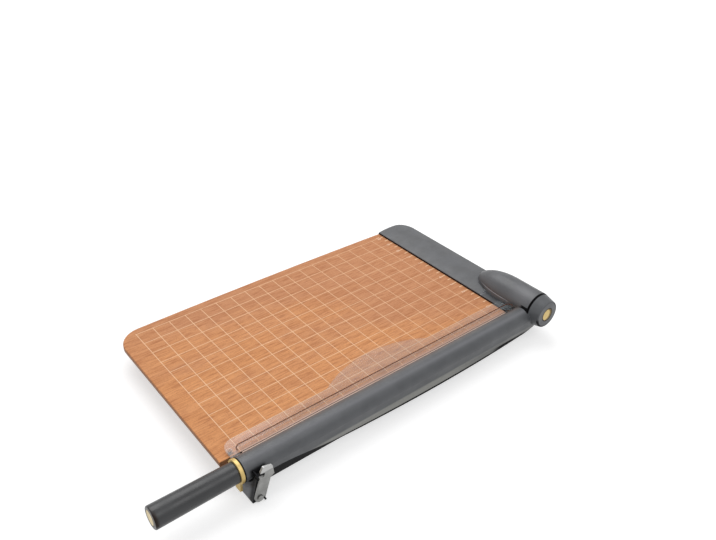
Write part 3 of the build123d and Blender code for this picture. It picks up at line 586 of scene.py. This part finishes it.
@dataclass(frozen=True)
class Metal:
    """Metal with fine brushing along one axis, duller in places, and zones of other colours.

    A matt zone is painted, so it isn't metal.
    """

    name: str
    colour: Colour
    dull: Colour
    roughness: float = 0.34
    brushing: Triple = (1.0, 0.04, 1.0)
    zones: tuple[Zone, ...] = ()
    streak_scale: float = 2200.0
    streak_detail: float = 4.0
    streak_levels: Span = (0.3, 0.7)
    rough_spread: Span = (-0.07, 0.10)
    haze: Noise = Noise(90.0, 4.0, (0.35, 0.7))
    haze_share: float = 0.55
    edge_reach: float = 0.0005
    edge_share: float = 0.30
    relief: Relief = Relief(0.12, 0.00006, 0.0003)

    def material(self) -> bpy.types.Material:
        """Makes the material."""
        graph = Graph(self.name)
        streaks = Noise(self.streak_scale, self.streak_detail, drawn=self.brushing).raw(graph)
        body = graph.mix(graph.product(self.haze.level(graph), self.haze_share), self.colour, self.dull)
        rubbed = graph.product(graph.edges(self.edge_reach), self.edge_share)
        body, painted = lay_zones(graph, graph.mix(rubbed, body, self.colour), self.zones)
        graph.shade(Base_Color=body)
        graph.shade(Metallic=1.0 if painted is None else graph.ease(painted, 0.0, 1.0, 1.0, 0.0))
        low, high = (self.roughness + change for change in self.rough_spread)
        graph.shade(Roughness=graph.ease(streaks, *self.streak_levels, low, high))
        graph.bump(streaks, self.relief)
        return graph.material


@dataclass(frozen=True)
class Rubber:
    """Dull black rubber with a fine rough skin and a little dust."""

    name: str
    colour: Colour = srgb(34, 34, 35)
    dust: Colour = srgb(78, 76, 73)
    dusting: Noise = Noise(130.0, 5.0, (0.45, 0.8))
    dust_share: float = 0.5
    rough: Span = (0.7, 0.9)
    skin: Noise = Noise(1800.0, 3.0)
    relief: Relief = Relief(0.4, 0.0002, 0.0004)

    def material(self) -> bpy.types.Material:
        """Makes the material."""
        graph = Graph(self.name)
        dusty = self.dusting.level(graph, 0.0, self.dust_share)
        graph.shade(Base_Color=graph.mix(dusty, self.colour, self.dust))
        graph.shade(Roughness=graph.ease(dusty, 0.0, self.dust_share, *self.rough))
        graph.bump(self.skin.raw(graph), self.relief)
        return graph.material


@dataclass(frozen=True)
class ClearPlastic:
    """Clear plastic sheet: a thin veil on its faces, scuffed at its front end, and dense along its top."""

    name: str
    veil: Colour = srgb(192, 202, 206)
    scuffed: Colour = srgb(250, 246, 246)
    cut: Colour = srgb(94, 54, 38)
    veil_share: float = 0.10
    smear_share: float = 0.03
    scuff_share: float = 0.03
    cut_share: float = 0.72
    wall_top: float = 0.0487
    scuffs: Span = (-0.0900, -0.1900)
    smears: Noise = Noise(46.0, 5.0, (0.4, 0.75), (1.0, 0.25, 1.0))
    gloss: float = 0.25
    rough: Span = (0.10, 0.22)
    refraction: float = 1.49
    relief: Relief = Relief(0.05, 0.0002)

    def material(self) -> bpy.types.Material:
        """Makes the material."""
        graph = Graph(self.name)
        _, along, height = graph.split(graph.place())
        cut = graph.ease(height, self.wall_top - SHARP, self.wall_top)
        smears = self.smears.level(graph)
        scuffed = graph.ease(along, *self.scuffs)
        share: Value = self.veil_share
        for mask, more in ((smears, self.smear_share), (scuffed, self.scuff_share),
                           (cut, self.cut_share - self.veil_share)):
            share = graph.math("ADD", share, graph.product(mask, more))
        body = graph.mix(scuffed, self.veil, self.scuffed)
        graph.shade(Base_Color=graph.mix(cut, body, self.cut), Alpha=share, IOR=self.refraction)
        graph.shade(Specular_IOR_Level=graph.ease(cut, 0.0, 1.0, self.gloss, 0.0))
        graph.shade(Roughness=graph.ease(smears, 0.0, 1.0, *self.rough))
        graph.bump(smears, self.relief)
        return graph.material


def dress(material: bpy.types.Material, *nodes: str) -> None:
    """Gives CAD nodes their finish.

    Args:
        material: The material.
        nodes: The nodes' names.
    """
    for node in nodes:
        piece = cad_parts[node]
        piece.data.materials.clear()
        piece.data.materials.append(material)
        LOG.info("dressed %s with %s", node, material.name)


def put(name: str, data: bpy.types.ID) -> bpy.types.Object:
    """Puts a new object in the scene.

    Args:
        name: The object's name.
        data: Its mesh, text, lamp or camera.

    Returns:
        The new object.
    """
    placed = bpy.data.objects.new(name, data)
    bpy.context.scene.collection.objects.link(placed)
    return placed


def add_piece(name: str, mesh: bpy.types.Mesh, body: Body,
              material: bpy.types.Material) -> bpy.types.Object:
    """Puts a new piece in the scene and lets it ride on a body.

    Args:
        name: The piece's name.
        mesh: Its mesh, in the part's frame.
        body: The body that it rides on.
        material: Its material.

    Returns:
        The new object.
    """
    piece = put(name, mesh)
    piece.data.materials.clear()
    piece.data.materials.append(material)
    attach(piece, body.value)
    LOG.info("built %s: %d faces on %s", name, len(mesh.polygons), body.value)
    return piece


def islands(node: str, gap: float = 1e-6) -> list[list[Vector]]:
    """The separate solids of a CAD node, as lists of their corners.

    Args:
        node: The node's name.
        gap: How far apart two corners may be that count as one, in metres.

    Returns:
        One list of points for each solid, in order of their place.
    """
    mesh = bmesh.new()
    mesh.from_mesh(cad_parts[node].data)
    bmesh.ops.remove_doubles(mesh, verts=mesh.verts, dist=gap)
    left = set(mesh.verts)
    found: list[list[Vector]] = []
    while left:
        grown = [left.pop()]
        for vertex in grown:
            for edge in vertex.link_edges:
                other = edge.other_vert(vertex)
                if other in left:
                    left.remove(other)
                    grown.append(other)
        found.append([vertex.co.copy() for vertex in grown])
    mesh.free()
    return sorted(found, key=lambda points: tuple(round(min(p[i] for p in points), 5) for i in range(3)))


def finished(mesh: bmesh.types.BMesh, name: str) -> bpy.types.Mesh:
    """Turns a working mesh into a real one, with its faces outwards.

    Args:
        mesh: The working mesh, which is freed.
        name: The new mesh's name.

    Returns:
        The new mesh.
    """
    bmesh.ops.recalc_face_normals(mesh, faces=mesh.faces)
    made = bpy.data.meshes.new(name)
    mesh.to_mesh(made)
    mesh.free()
    return made


def evaluated(helper: bpy.types.Object) -> bpy.types.Mesh:
    """The mesh of a helper object, with its modifiers applied.

    Args:
        helper: The object, which is in the scene.

    Returns:
        A new mesh.
    """
    bpy.context.view_layer.update()
    depsgraph = bpy.context.evaluated_depsgraph_get()
    return bpy.data.meshes.new_from_object(helper.evaluated_get(depsgraph))


def append(mesh: bmesh.types.BMesh, part: bpy.types.Mesh, seat: Matrix) -> None:
    """Adds a copy of a mesh to a working mesh.

    Args:
        mesh: The working mesh.
        part: The mesh to add.
        seat: Where it goes.
    """
    start = len(mesh.verts)
    mesh.from_mesh(part)
    mesh.verts.ensure_lookup_table()
    bmesh.ops.transform(mesh, matrix=seat, verts=mesh.verts[start:])


def soften(mesh: bpy.types.Mesh, angle: float = 32.0) -> None:
    """Shades a mesh smooth, apart from edges sharper than an angle.

    Args:
        mesh: The mesh.
        angle: The sharpest turn that is still smooth, in degrees.
    """
    mesh.polygons.foreach_set("use_smooth", [True] * len(mesh.polygons))
    work = bmesh.new()
    work.from_mesh(mesh)
    for edge in work.edges:
        edge.smooth = edge.is_manifold and edge.calc_face_angle(0.0) < math.radians(angle)
    work.to_mesh(mesh)
    work.free()


@dataclass(frozen=True)
class CrossScrew:
    """A screw with a cross recess: its head is modelled, and its shank runs into the hole."""

    form: HeadForm
    head_radius: float = 0.0040
    head_height: float = 0.0020
    seat_share: float = 0.98
    crown_share: float = 0.55
    crown_turns: tuple[float, ...] = (0.0, 22.0, 44.0, 62.0, 78.0)
    skirt_share: float = 0.18
    flush_gap: float = 0.0001
    flush_rim: float = 0.00006
    shank_radius: float = 0.0019
    shank_length: float = 0.0040
    recess_width: float = 0.0011
    recess_reach: float = 0.0021
    recess_depth: float = 0.0013
    recess_taper: float = 0.45
    recess_overrun: float = 0.0005
    recess_turn: float = 0.4
    sides: int = 40

    def profile(self) -> list[Span]:
        """Half outline of the head and shank, as (radius, height) from the shank's end to the top."""
        shank_end = (self.shank_radius, -self.shank_length)
        if self.form is HeadForm.FLUSH:
            rim_radius = self.head_radius - self.flush_gap
            return [shank_end, (self.shank_radius, -self.head_height),
                    (rim_radius, -self.head_height * self.skirt_share), (rim_radius, -self.flush_rim),
                    (rim_radius - self.flush_rim, 0.0)]
        crown = [(self.head_radius * math.cos(turn),
                  self.head_height * (1.0 - self.crown_share + self.crown_share * math.sin(turn)))
                 for turn in (math.radians(step) for step in self.crown_turns)]
        return [shank_end, (self.shank_radius, 0.0), (self.head_radius * self.seat_share, 0.0), *crown]

    def turned(self) -> bpy.types.Mesh:
        """The screw's body without its recess, turned about Z."""
        mesh = bmesh.new()
        rings = [[mesh.verts.new((radius * math.cos(turn), radius * math.sin(turn), height))
                  for turn in (2.0 * math.pi * side / self.sides for side in range(self.sides))]
                 for radius, height in self.profile()]
        for low, high in zip(rings, rings[1:]):
            for side in range(self.sides):
                after = (side + 1) % self.sides
                mesh.faces.new((low[side], low[after], high[after], high[side]))
        mesh.faces.new(list(reversed(rings[0])))
        mesh.faces.new(rings[-1])
        return finished(mesh, "screw_body")

    def cutter(self, top: float) -> bpy.types.Mesh:
        """The cross that is cut into the head.

        Args:
            top: Height of the head's top.

        Returns:
            Two tapered bars that cross.
        """
        mesh = bmesh.new()
        for quarter in (0.0, math.pi / 2.0):
            made = bmesh.ops.create_cube(mesh, size=1.0)["verts"]
            for vertex in made:
                deep = vertex.co.z < 0.0
                reach = self.recess_reach * (self.recess_taper if deep else 1.0)
                vertex.co = Vector((math.copysign(reach, vertex.co.x),
                                    math.copysign(self.recess_width / 2.0, vertex.co.y),
                                    top - self.recess_depth if deep else top + self.recess_overrun))
            bmesh.ops.rotate(mesh, verts=made, matrix=Matrix.Rotation(quarter + self.recess_turn, 3, "Z"))
        return finished(mesh, "recess_cutter")

    def mesh(self) -> bpy.types.Mesh:
        """One whole screw at the origin, with its head facing up."""
        body = put("screw_blank", self.turned())
        cross = put("screw_cross", self.cutter(self.profile()[-1][1]))
        cut = body.modifiers.new("recess", "BOOLEAN")
        cut.operation = "DIFFERENCE"
        cut.solver = "EXACT"
        cut.use_self = True
        cut.object = cross
        made = evaluated(body)
        for helper in (body, cross):
            bpy.data.objects.remove(helper)
        return made


PAN_SCREW = CrossScrew(HeadForm.PAN)
FLUSH_SCREW = CrossScrew(HeadForm.FLUSH)


@dataclass
class ScrewSet:
    """All screws of one CAD node, each with a cross recess and turned on from the one before."""

    node: str
    body: Body
    facing: Facing
    screw: CrossScrew
    slot: str = "screw_steel"
    turn_step: float = 1.1

    def seats(self) -> list[Matrix]:
        """Where each screw stands, with Z along the way that its head faces."""
        out = self.facing.value
        turn = Facing.UP.value.rotation_difference(out).to_matrix().to_4x4()
        rise = self.screw.head_height if self.screw.form is HeadForm.PAN else 0.0
        found = []
        for index, points in enumerate(islands(self.node)):
            low = Vector(min(p[i] for p in points) for i in range(3))
            high = Vector(max(p[i] for p in points) for i in range(3))
            middle = (low + high) / 2.0
            top = max(p.dot(out) for p in points) - rise
            spot = middle + out * (top - middle.dot(out))
            found.append(Matrix.Translation(spot) @ turn @ Matrix.Rotation(self.turn_step * index, 4, "Z"))
        return found

    def build(self, material: bpy.types.Material) -> None:
        """Builds the screws as one piece that stands for the CAD node.

        Args:
            material: The screws' material.
        """
        single = self.screw.mesh()
        mesh = bmesh.new()
        for seat in self.seats():
            append(mesh, single, seat)
        made = finished(mesh, self.node + "_detail")
        soften(made)
        piece = add_piece(self.node + "_detail", made, self.body, material)
        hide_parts(self.node)


@dataclass
class Bed:
    """The wooden bed with its printed grid and numbers, its bars, feet and fixed blade."""

    last_number: int = 10
    number_size: float = 0.0086
    number_weight: float = 0.00028
    number_gap: float = 0.0075
    number_rise: float = 0.72
    ink_height: float = 0.00004
    merge_gap: float = 1e-7
    screws: CrossScrew = PAN_SCREW
    flush_screws: CrossScrew = FLUSH_SCREW

    def numbers(self) -> bpy.types.Mesh:
        """The inch numbers printed along the fence, as one thin mesh."""
        mesh = bmesh.new()
        front = FENCE_Y - self.number_gap - self.number_size * self.number_rise
        for index in range(self.last_number + 1):
            text = bpy.data.curves.new("number", "FONT")
            text.body = str(index)
            text.size = self.number_size
            text.align_x = "CENTER"
            text.extrude = self.ink_height / 2.0
            text.offset = self.number_weight
            helper = put("number", text)
            spot = Vector((FIRST_LINE_X - index * INCH, front, BED_TOP + self.ink_height / 2.0))
            append(mesh, evaluated(helper), Matrix.Translation(spot))
            bpy.data.objects.remove(helper)
        bmesh.ops.remove_doubles(mesh, verts=mesh.verts, dist=self.merge_gap)
        return finished(mesh, "fence_numbers")

    def build(self, finishes: "Finishes") -> None:
        """Dresses the bed's nodes and builds its numbers and screws.

        Args:
            finishes: The materials.
        """
        dress(finishes.bed, "board")
        dress(finishes.bar, "front_batten", "rear_batten", "cutting_rail")
        dress(finishes.rubber, "rubber_feet")
        dress(finishes.bed_blade, "lower_blade")
        add_piece("fence_numbers", self.numbers(), Body.BASE, finishes.ink)
        ScrewSet("batten_screws", Body.BASE, Facing.DOWN, self.screws).build(finishes.screw)
        ScrewSet("lower_blade_screws", Body.BASE, Facing.RIGHT, self.flush_screws).build(finishes.screw)


@dataclass
class Head:
    """The moulded head along the back, with the pivot's fixed steel parts in its dome."""

    screws: CrossScrew = PAN_SCREW

    def build(self, finishes: "Finishes") -> None:
        """Dresses the head's nodes and builds its screws.

        Args:
            finishes: The materials.
        """
        dress(finishes.head, "head_cover")
        dress(finishes.screw, "pivot_bracket", "pivot_bolt", "pivot_sleeve", "pivot_nut")
        ScrewSet("head_screws", Body.BASE, Facing.DOWN, self.screws).build(finishes.screw)
        ScrewSet("bracket_screws", Body.BASE, Facing.UP, self.screws).build(finishes.screw)


@dataclass
class Guard:
    """The clear strip beside the blade, held by a small screw at each end."""

    screws: CrossScrew = CrossScrew(HeadForm.PAN, head_height=0.0014, recess_depth=0.0010)

    def build(self, finishes: "Finishes") -> None:
        """Dresses the guard and builds its screws.

        Args:
            finishes: The materials.
        """
        dress(finishes.clear, "guard", "guard_spacer")
        ScrewSet("guard_screws", Body.BASE, Facing.UP, self.screws, "clear_plastic").build(finishes.clear)


@dataclass
class Arm:
    """The swinging arm with its blade, collar, handle and knuckle."""

    screws: CrossScrew = FLUSH_SCREW

    def build(self, finishes: "Finishes") -> None:
        """Dresses the arm's nodes and builds the blade's screws.

        Args:
            finishes: The materials.
        """
        dress(finishes.arm, "arm_cover")
        dress(finishes.grip, "handle_grip")
        dress(finishes.brass, "arm_collar", "pivot_bush")
        dress(finishes.end_gold, "handle_end_cap")
        dress(finishes.pivot_gold, "pivot_cap")
        dress(finishes.screw, "arm_core")
        dress(finishes.carrier, "blade_carrier")
        dress(finishes.blade, "cutting_blade")
        dress(finishes.dark, "catch_stud")
        ScrewSet("blade_screws", Body.ARM, Facing.LEFT, self.screws).build(finishes.screw)


@dataclass
class FrontBlock:
    """The saddle that the arm comes down into, with its rubber pad and hook latch."""

    screws: CrossScrew = PAN_SCREW

    def build(self, finishes: "Finishes") -> None:
        """Dresses the block, pad and latch, and builds the block's screws.

        Args:
            finishes: The materials.
        """
        dress(finishes.block, "front_block")
        dress(finishes.rubber, "arm_bumper")
        dress(finishes.latch, "latch_lever", "latch_pin")
        dress(finishes.dark, "latch_stop")
        ScrewSet("block_screws", Body.BASE, Facing.LEFT, self.screws).build(finishes.screw)


class Finishes:
    """Every material of the paper cutter, made once."""

    def __init__(self) -> None:
        """Makes the materials."""
        self.bed = BedWood("bed_wood").material()
        self.bar = BedWood("bar_wood", srgb(176, 128, 86), srgb(160, 108, 72), srgb(126, 84, 54),
                           srgb(150, 108, 74), printed=False).material()
        self.ink = MouldedPlastic("grid_ink", srgb(246, 206, 172), srgb(236, 188, 150), 0.5, edge_share=0.0,
                                  mottle_share=0.5).material()
        self.head = MouldedPlastic("head_plastic", srgb(82, 83, 85), srgb(136, 140, 148), 0.42,
                                   self.head_zones()).material()
        self.arm = MouldedPlastic("arm_plastic", srgb(80, 82, 85), srgb(132, 135, 138), 0.38,
                                  self.arm_zones()).material()
        self.grip = MouldedPlastic("grip_plastic", srgb(44, 45, 47), srgb(86, 87, 89), 0.33,
                                   self.grip_zones()).material()
        self.block = MouldedPlastic("block_plastic", srgb(66, 68, 72), srgb(110, 114, 120), 0.30,
                                    self.block_zones()).material()
        self.rubber = Rubber("black_rubber").material()
        self.clear = ClearPlastic("clear_plastic").material()
        self.brass = Metal("satin_gold", GOLD, OLD_GOLD, 0.48).material()
        # Painted shade: a dark crescent on the pivot cap where its recess shades it.
        cap_shade = RoundZone(srgb(98, 80, 40), share=0.85, matt=False, axis=(0.2915, 0.0460), inner=0.0092)
        self.pivot_gold = Metal("pivot_gold", GOLD, OLD_GOLD, 0.40, (1.0, 1.0, 0.2), (cap_shade,)).material()
        # Painted shade: a dark crescent on the end cap where the handle's rim shades it.
        end_cap_shade = RoundZone(srgb(60, 46, 32), share=0.9, sides=(0, 2), axis=(0.1414, 0.0355),
                                  inner=0.0094)
        self.end_gold = Metal("end_gold", srgb(214, 198, 156), srgb(176, 156, 112), 0.40, (0.2, 1.0, 1.0),
                              (end_cap_shade,)).material()
        self.screw = Metal("zinc_steel", srgb(196, 197, 198), srgb(160, 161, 162)).material()
        self.dark = Metal("blackened_steel", srgb(30, 30, 32), srgb(22, 22, 24), 0.5).material()
        upright = (1.0, 1.0, 0.04)
        # Pale coat on the blade's top: partly the bed's colour, partly painted light that fills the shade at
        # the arm's edge.
        blade_top_coat_and_light = Zone(srgb(238, 208, 190), low=(None, None, 0.0356))
        self.blade = Metal("ground_steel", STEEL, DULL_STEEL, 0.26, upright, (blade_top_coat_and_light,)).material()
        painted = Zone(srgb(206, 168, 148), low=(None, None, 0.0366))
        self.bed_blade = Metal("bed_blade_steel", STEEL, DULL_STEEL, 0.26, upright, (painted,)).material()
        self.carrier = Metal("satin_aluminium", srgb(176, 177, 179), srgb(150, 151, 153), 0.4).material()
        bright_hook = Zone(srgb(178, 178, 177), low=(None, None, 0.0445), matt=False)
        self.latch = Metal("brushed_steel", srgb(148, 148, 146), srgb(118, 118, 116), 0.36, (1.0, 0.06, 1.0),
                           (bright_hook,)).material()

    @staticmethod
    def head_zones() -> tuple[Zone, ...]:
        """Painted shade on the head's fence face and in its gaps, and painted light and shade on its dome."""
        # Painted shadow: the fence's front face is dark, like the shaded gap under the head.
        fence = FacingZone(srgb(38, 30, 27), (None, None, 0.0368), (None, 0.2640, 0.0398))
        # Painted highlight: lighter on the dome's top towards its right end.
        dome_light = Zone(srgb(112, 113, 116), (0.1180, None, 0.0540), (0.1500, 0.2960, None),
                          (0.0120, 0.0030, 0.0060), 0.6, matt=False)
        # Painted shade: darker on the back of the dome's top.
        dome_far_shade = Zone(srgb(60, 61, 63), (0.1080, 0.2990, 0.0600), (0.1500, None, None),
                        (0.0100, 0.0020, 0.0040), 0.6, matt=False)
        # Painted light that lifts the shade on the front of the dome's foot.
        dome_foot_light = FacingZone(srgb(112, 113, 116), (0.0660, 0.2640, 0.0412), (0.1180, None, 0.0488),
                               (0.0060, SHARP, 0.0003), 0.8, matt=False)
        # Painted highlight: a pale line along the crease at the front of the dome's foot.
        dome_crease_highlight = FacingZone(srgb(188, 196, 206), (0.0600, 0.2640, 0.0485), (0.1130, None, 0.0494),
                                 (0.0080, SHARP, 0.0003), 0.85, matt=False)
        # Painted light over the shadow cast by the step at the shelf's end.
        shelf_end_light = Zone(srgb(156, 158, 162), (0.0701, None, 0.0398), (0.0722, 0.2790, 0.0432),
                         (0.0003, SHARP, SHARP), 0.7, matt=False)
        # Painted shade: black in the gap under the dome beside the arm's end.
        arm_gap_shade = FacingZone(SHADE_BLACK, (0.1400, None, 0.0505), (None, None, 0.0550), (0.0025, SHARP, 0.0004))
        # Painted shade: black on the head's end in the gap beside the knuckle.
        seam = Zone(SHADE_BLACK, low=(0.1513, None, None))
        return fence, dome_light, dome_far_shade, dome_foot_light, dome_crease_highlight, shelf_end_light, arm_gap_shade, seam

    @staticmethod
    def arm_zones() -> tuple[Zone, ...]:
        """Painted highlights on the arm's top and lip, a painted bed reflection, and painted shade on its
        edges, seams, hub and by the latch.
        """
        # Painted highlight: a lighter band along the arm's upper flank.
        top_light = Zone(srgb(115, 116, 120), (0.1475, None, 0.0470), (0.1520, None, None),
                         (0.0032, SHARP, 0.0010), 0.85, matt=False)
        # Painted reflection: warm light from the bed on the arm's lower side.
        bed_glow = Zone(srgb(98, 79, 67), (None, None, 0.0440), (0.1415, None, None),
                        (0.0045, SHARP, 0.0060), 0.4, matt=False)
        # Painted highlight: a pale band where the flared lip catches the light.
        lip = Zone(srgb(150, 150, 145), (0.1500, -0.1150, None), (None, None, 0.0240),
                   (0.0004, 0.0250, 0.0020), 0.95, matt=False)
        # The lip's painted highlight, faded towards the back.
        lip_back = Zone(srgb(80, 82, 85), (0.1500, 0.1400, None), (None, None, 0.0240),
                        (0.0004, 0.0400, 0.0020), 0.55, matt=False)
        # Painted shade: black along the arm's lower edge, under the flared lip, and at its lower back corner.
        rim = SlopedZone(SHADE_BLACK, (0.1500, None, None))
        lower_back_shade = Zone(SHADE_BLACK, (0.1500, 0.2000, None), (None, 0.2750, 0.0192), (SHARP, 0.0150, 0.0006))
        # Painted shade: black on the hub's outer ring, below and behind the pivot.
        hub = {"soft": (SHARP, 0.0040, 0.0040), "share": 0.95, "inner": 0.0188}
        hub_shade_below = RoundZone(SHADE_BLACK, (0.1688, None, None), (None, None, 0.0430), **hub)
        hub_shade_behind = RoundZone(SHADE_BLACK, (0.1688, 0.3060, None), **hub)
        # Painted shade in the recess round the pivot cap.
        cap_recess_shade = RoundZone(srgb(44, 36, 26), (0.1700, None, None), share=0.8, outer=0.0113)
        # Painted shade: black on the arm's inner side in the gap beside the dome.
        knuckle_gap_shade = Zone(SHADE_BLACK, (None, 0.2690, None), (0.1548, None, None))
        # Painted shade: black where the arm runs into the collar.
        collar_gap_shade = Zone(SHADE_BLACK, high=(None, -0.2126, None))
        # Painted shadow: a black patch on the arm's flank round the latch's hook.
        latch_shadow = Zone(SHADE_BLACK, (0.1550, -0.2080, 0.0330), (None, -0.1880, 0.0440),
                         (0.0004, 0.0030, 0.0020), 0.9)
        return (top_light, bed_glow, lip, lip_back, rim, lower_back_shade, hub_shade_below, hub_shade_behind, cap_recess_shade,
                knuckle_gap_shade, collar_gap_shade, latch_shadow)

    @staticmethod
    def grip_zones() -> tuple[Zone, ...]:
        """Painted shade at the handle's two ends."""
        # Painted shade: the grip darkens next to the collar.
        collar_shade = Zone(SHADE_BLACK, low=(None, -0.2200, None), share=0.35)
        # Painted shadow: a dark crescent on the grip beside the end cap, where its rim is shaded.
        end_shade = Zone(srgb(48, 38, 32), (0.1404, None, 0.0335), (None, -0.3178, 0.0500),
                         (0.0030, 0.0026, 0.0030), 0.85)
        return collar_shade, end_shade

    @staticmethod
    def block_zones() -> tuple[Zone, ...]:
        """Painted sheen and shade on the block's front, and painted shade in its saddle, on its side and on
        its ear.
        """
        # Painted sheen: the lower left of the block's front is lighter.
        sheen = FacingZone(srgb(146, 150, 158), high=(0.1570, None, 0.0260), soft=(0.0030, SHARP, 0.0080),
                           share=0.5, matt=False)
        # Painted shade: the right of the block's front is darker.
        shade = FacingZone(srgb(36, 37, 40), low=(0.1595, None, None), soft=(0.0025, SHARP, SHARP), share=0.8)
        # Painted shade: black round the handle in the saddle.
        saddle = RoundZone(SHADE_BLACK, sides=(0, 2), axis=(0.1444, 0.0370), outer=0.0178)
        # Painted shade: black on the block's right side.
        block_side_shade = Zone(SHADE_BLACK, low=(0.1662, None, None))
        # Painted shade: black on the top of the ear beside the latch.
        ear_top_shade = Zone(SHADE_BLACK, low=(0.1500, None, 0.0335))
        return sheen, shade, saddle, block_side_shade, ear_top_shade


@dataclass
class Studio:
    """The pale floor, the soft lights and the camera at the photograph's viewing angle."""

    eye: Triple = (0.67469, -0.49053, 0.68200)
    look: Triple = (-0.64645, 0.54111, -0.53786)
    up: Triple = (-0.42987, 0.32409, 0.84272)
    right: Triple = (0.63032, 0.77599, 0.02310)
    lens: float = 37.42
    sensor: float = 36.0
    clip: Span = (0.01, 100.0)
    white: Colour = (1.0, 1.0, 1.0, 1.0)
    floor_half: float = 9.0
    floor_colour: Colour = (0.66, 0.66, 0.66, 1.0)
    floor_roughness: float = 0.9
    floor_glow: float = 0.57
    far_glow: float = 0.25
    far_reach: Span = (0.6, 2.2)
    sky_colour: Colour = (0.99, 0.99, 1.0, 1.0)
    sky_level: float = 0.48
    lights: tuple[tuple[str, Triple, float, float], ...] = (
        ("key", (-1.3, 0.4, 2.4), 2.2, 37.0),
        ("side", (1.6, 0.3, 1.8), 1.2, 8.0),
    )

    def floor(self) -> None:
        """Lays the floor, which is white where it is far from the part."""
        mesh = bmesh.new()
        half = self.floor_half
        corners = [mesh.verts.new((x, y, 0.0)) for x, y in
                   ((-half, -half), (half, -half), (half, half), (-half, half))]
        mesh.faces.new(corners)
        ground = put("floor", finished(mesh, "floor"))
        graph = Graph("pale_floor")
        path = graph.add("ShaderNodeLightPath").outputs
        seen = path[SEEN_RAYS[0]]
        for ray in SEEN_RAYS[1:]:
            seen = graph.math("MAXIMUM", seen, path[ray])
        graph.shade(Base_Color=self.floor_colour, Roughness=self.floor_roughness, Specular_IOR_Level=0.0)
        graph.shade(Emission_Color=self.white)
        away = graph.add("ShaderNodeVectorMath", operation="LENGTH")
        graph.feed(away.inputs[0], graph.place())
        levels = (self.floor_glow, self.floor_glow + self.far_glow)
        glow = graph.ease(away.outputs["Value"], *self.far_reach, *levels)
        graph.shade(Emission_Strength=graph.product(seen, glow))
        ground.data.materials.append(graph.material)

    def sky(self) -> None:
        """Sets the even light from all round, white where it is seen itself."""
        world = bpy.data.worlds.new("studio")
        world.use_nodes = True
        tree = world.node_tree
        tree.nodes.clear()
        output = tree.nodes.new("ShaderNodeOutputWorld")
        mix = tree.nodes.new("ShaderNodeMixShader")
        for socket, colour, level in ((mix.inputs[1], self.sky_colour, self.sky_level),
                                      (mix.inputs[2], self.white, 1.0)):
            light = tree.nodes.new("ShaderNodeBackground")
            light.inputs["Color"].default_value = colour
            light.inputs["Strength"].default_value = level
            tree.links.new(light.outputs[0], socket)
        path = tree.nodes.new("ShaderNodeLightPath")
        seen = path.outputs[SEEN_RAYS[0]]
        for ray in SEEN_RAYS[1:]:
            either = tree.nodes.new("ShaderNodeMath")
            either.operation = "MAXIMUM"
            tree.links.new(seen, either.inputs[0])
            tree.links.new(path.outputs[ray], either.inputs[1])
            seen = either.outputs[0]
        tree.links.new(seen, mix.inputs[0])
        tree.links.new(mix.outputs[0], output.inputs["Surface"])
        bpy.context.scene.world = world

    def lamps(self) -> None:
        """Hangs the soft lamps, each turned to the bed."""
        for name, spot, size, power in self.lights:
            lamp = bpy.data.lights.new(name, "AREA")
            lamp.shape = "SQUARE"
            lamp.size = size
            lamp.energy = power
            hung = put(name, lamp)
            hung.location = spot
            hung.rotation_euler = (-Vector(spot)).to_track_quat("-Z", "Y").to_euler()

    def camera(self) -> None:
        """Sets the camera."""
        lens = bpy.data.cameras.new("camera")
        lens.lens = self.lens
        lens.sensor_width = self.sensor
        lens.sensor_fit = "HORIZONTAL"
        lens.clip_start, lens.clip_end = self.clip
        eye = put("camera", lens)
        turn = Matrix((self.right, self.up, tuple(-part for part in self.look))).transposed().to_4x4()
        eye.matrix_world = Matrix.Translation(self.eye) @ turn
        bpy.context.scene.camera = eye

    def build(self) -> None:
        """Builds the whole studio."""
        self.floor()
        self.sky()
        self.lamps()
        self.camera()
        bpy.context.scene.view_settings.view_transform = "Standard"


def main() -> None:
    """Builds the paper cutter's sub-assemblies in order, then the studio."""
    logging.basicConfig(level=logging.INFO, format="%(name)s: %(message)s")
    finishes = Finishes()
    for assembly in (Bed(), Head(), Guard(), Arm(), FrontBlock()):
        assembly.build(finishes)
    Studio().build()


if __name__ == "__main__":
    main()
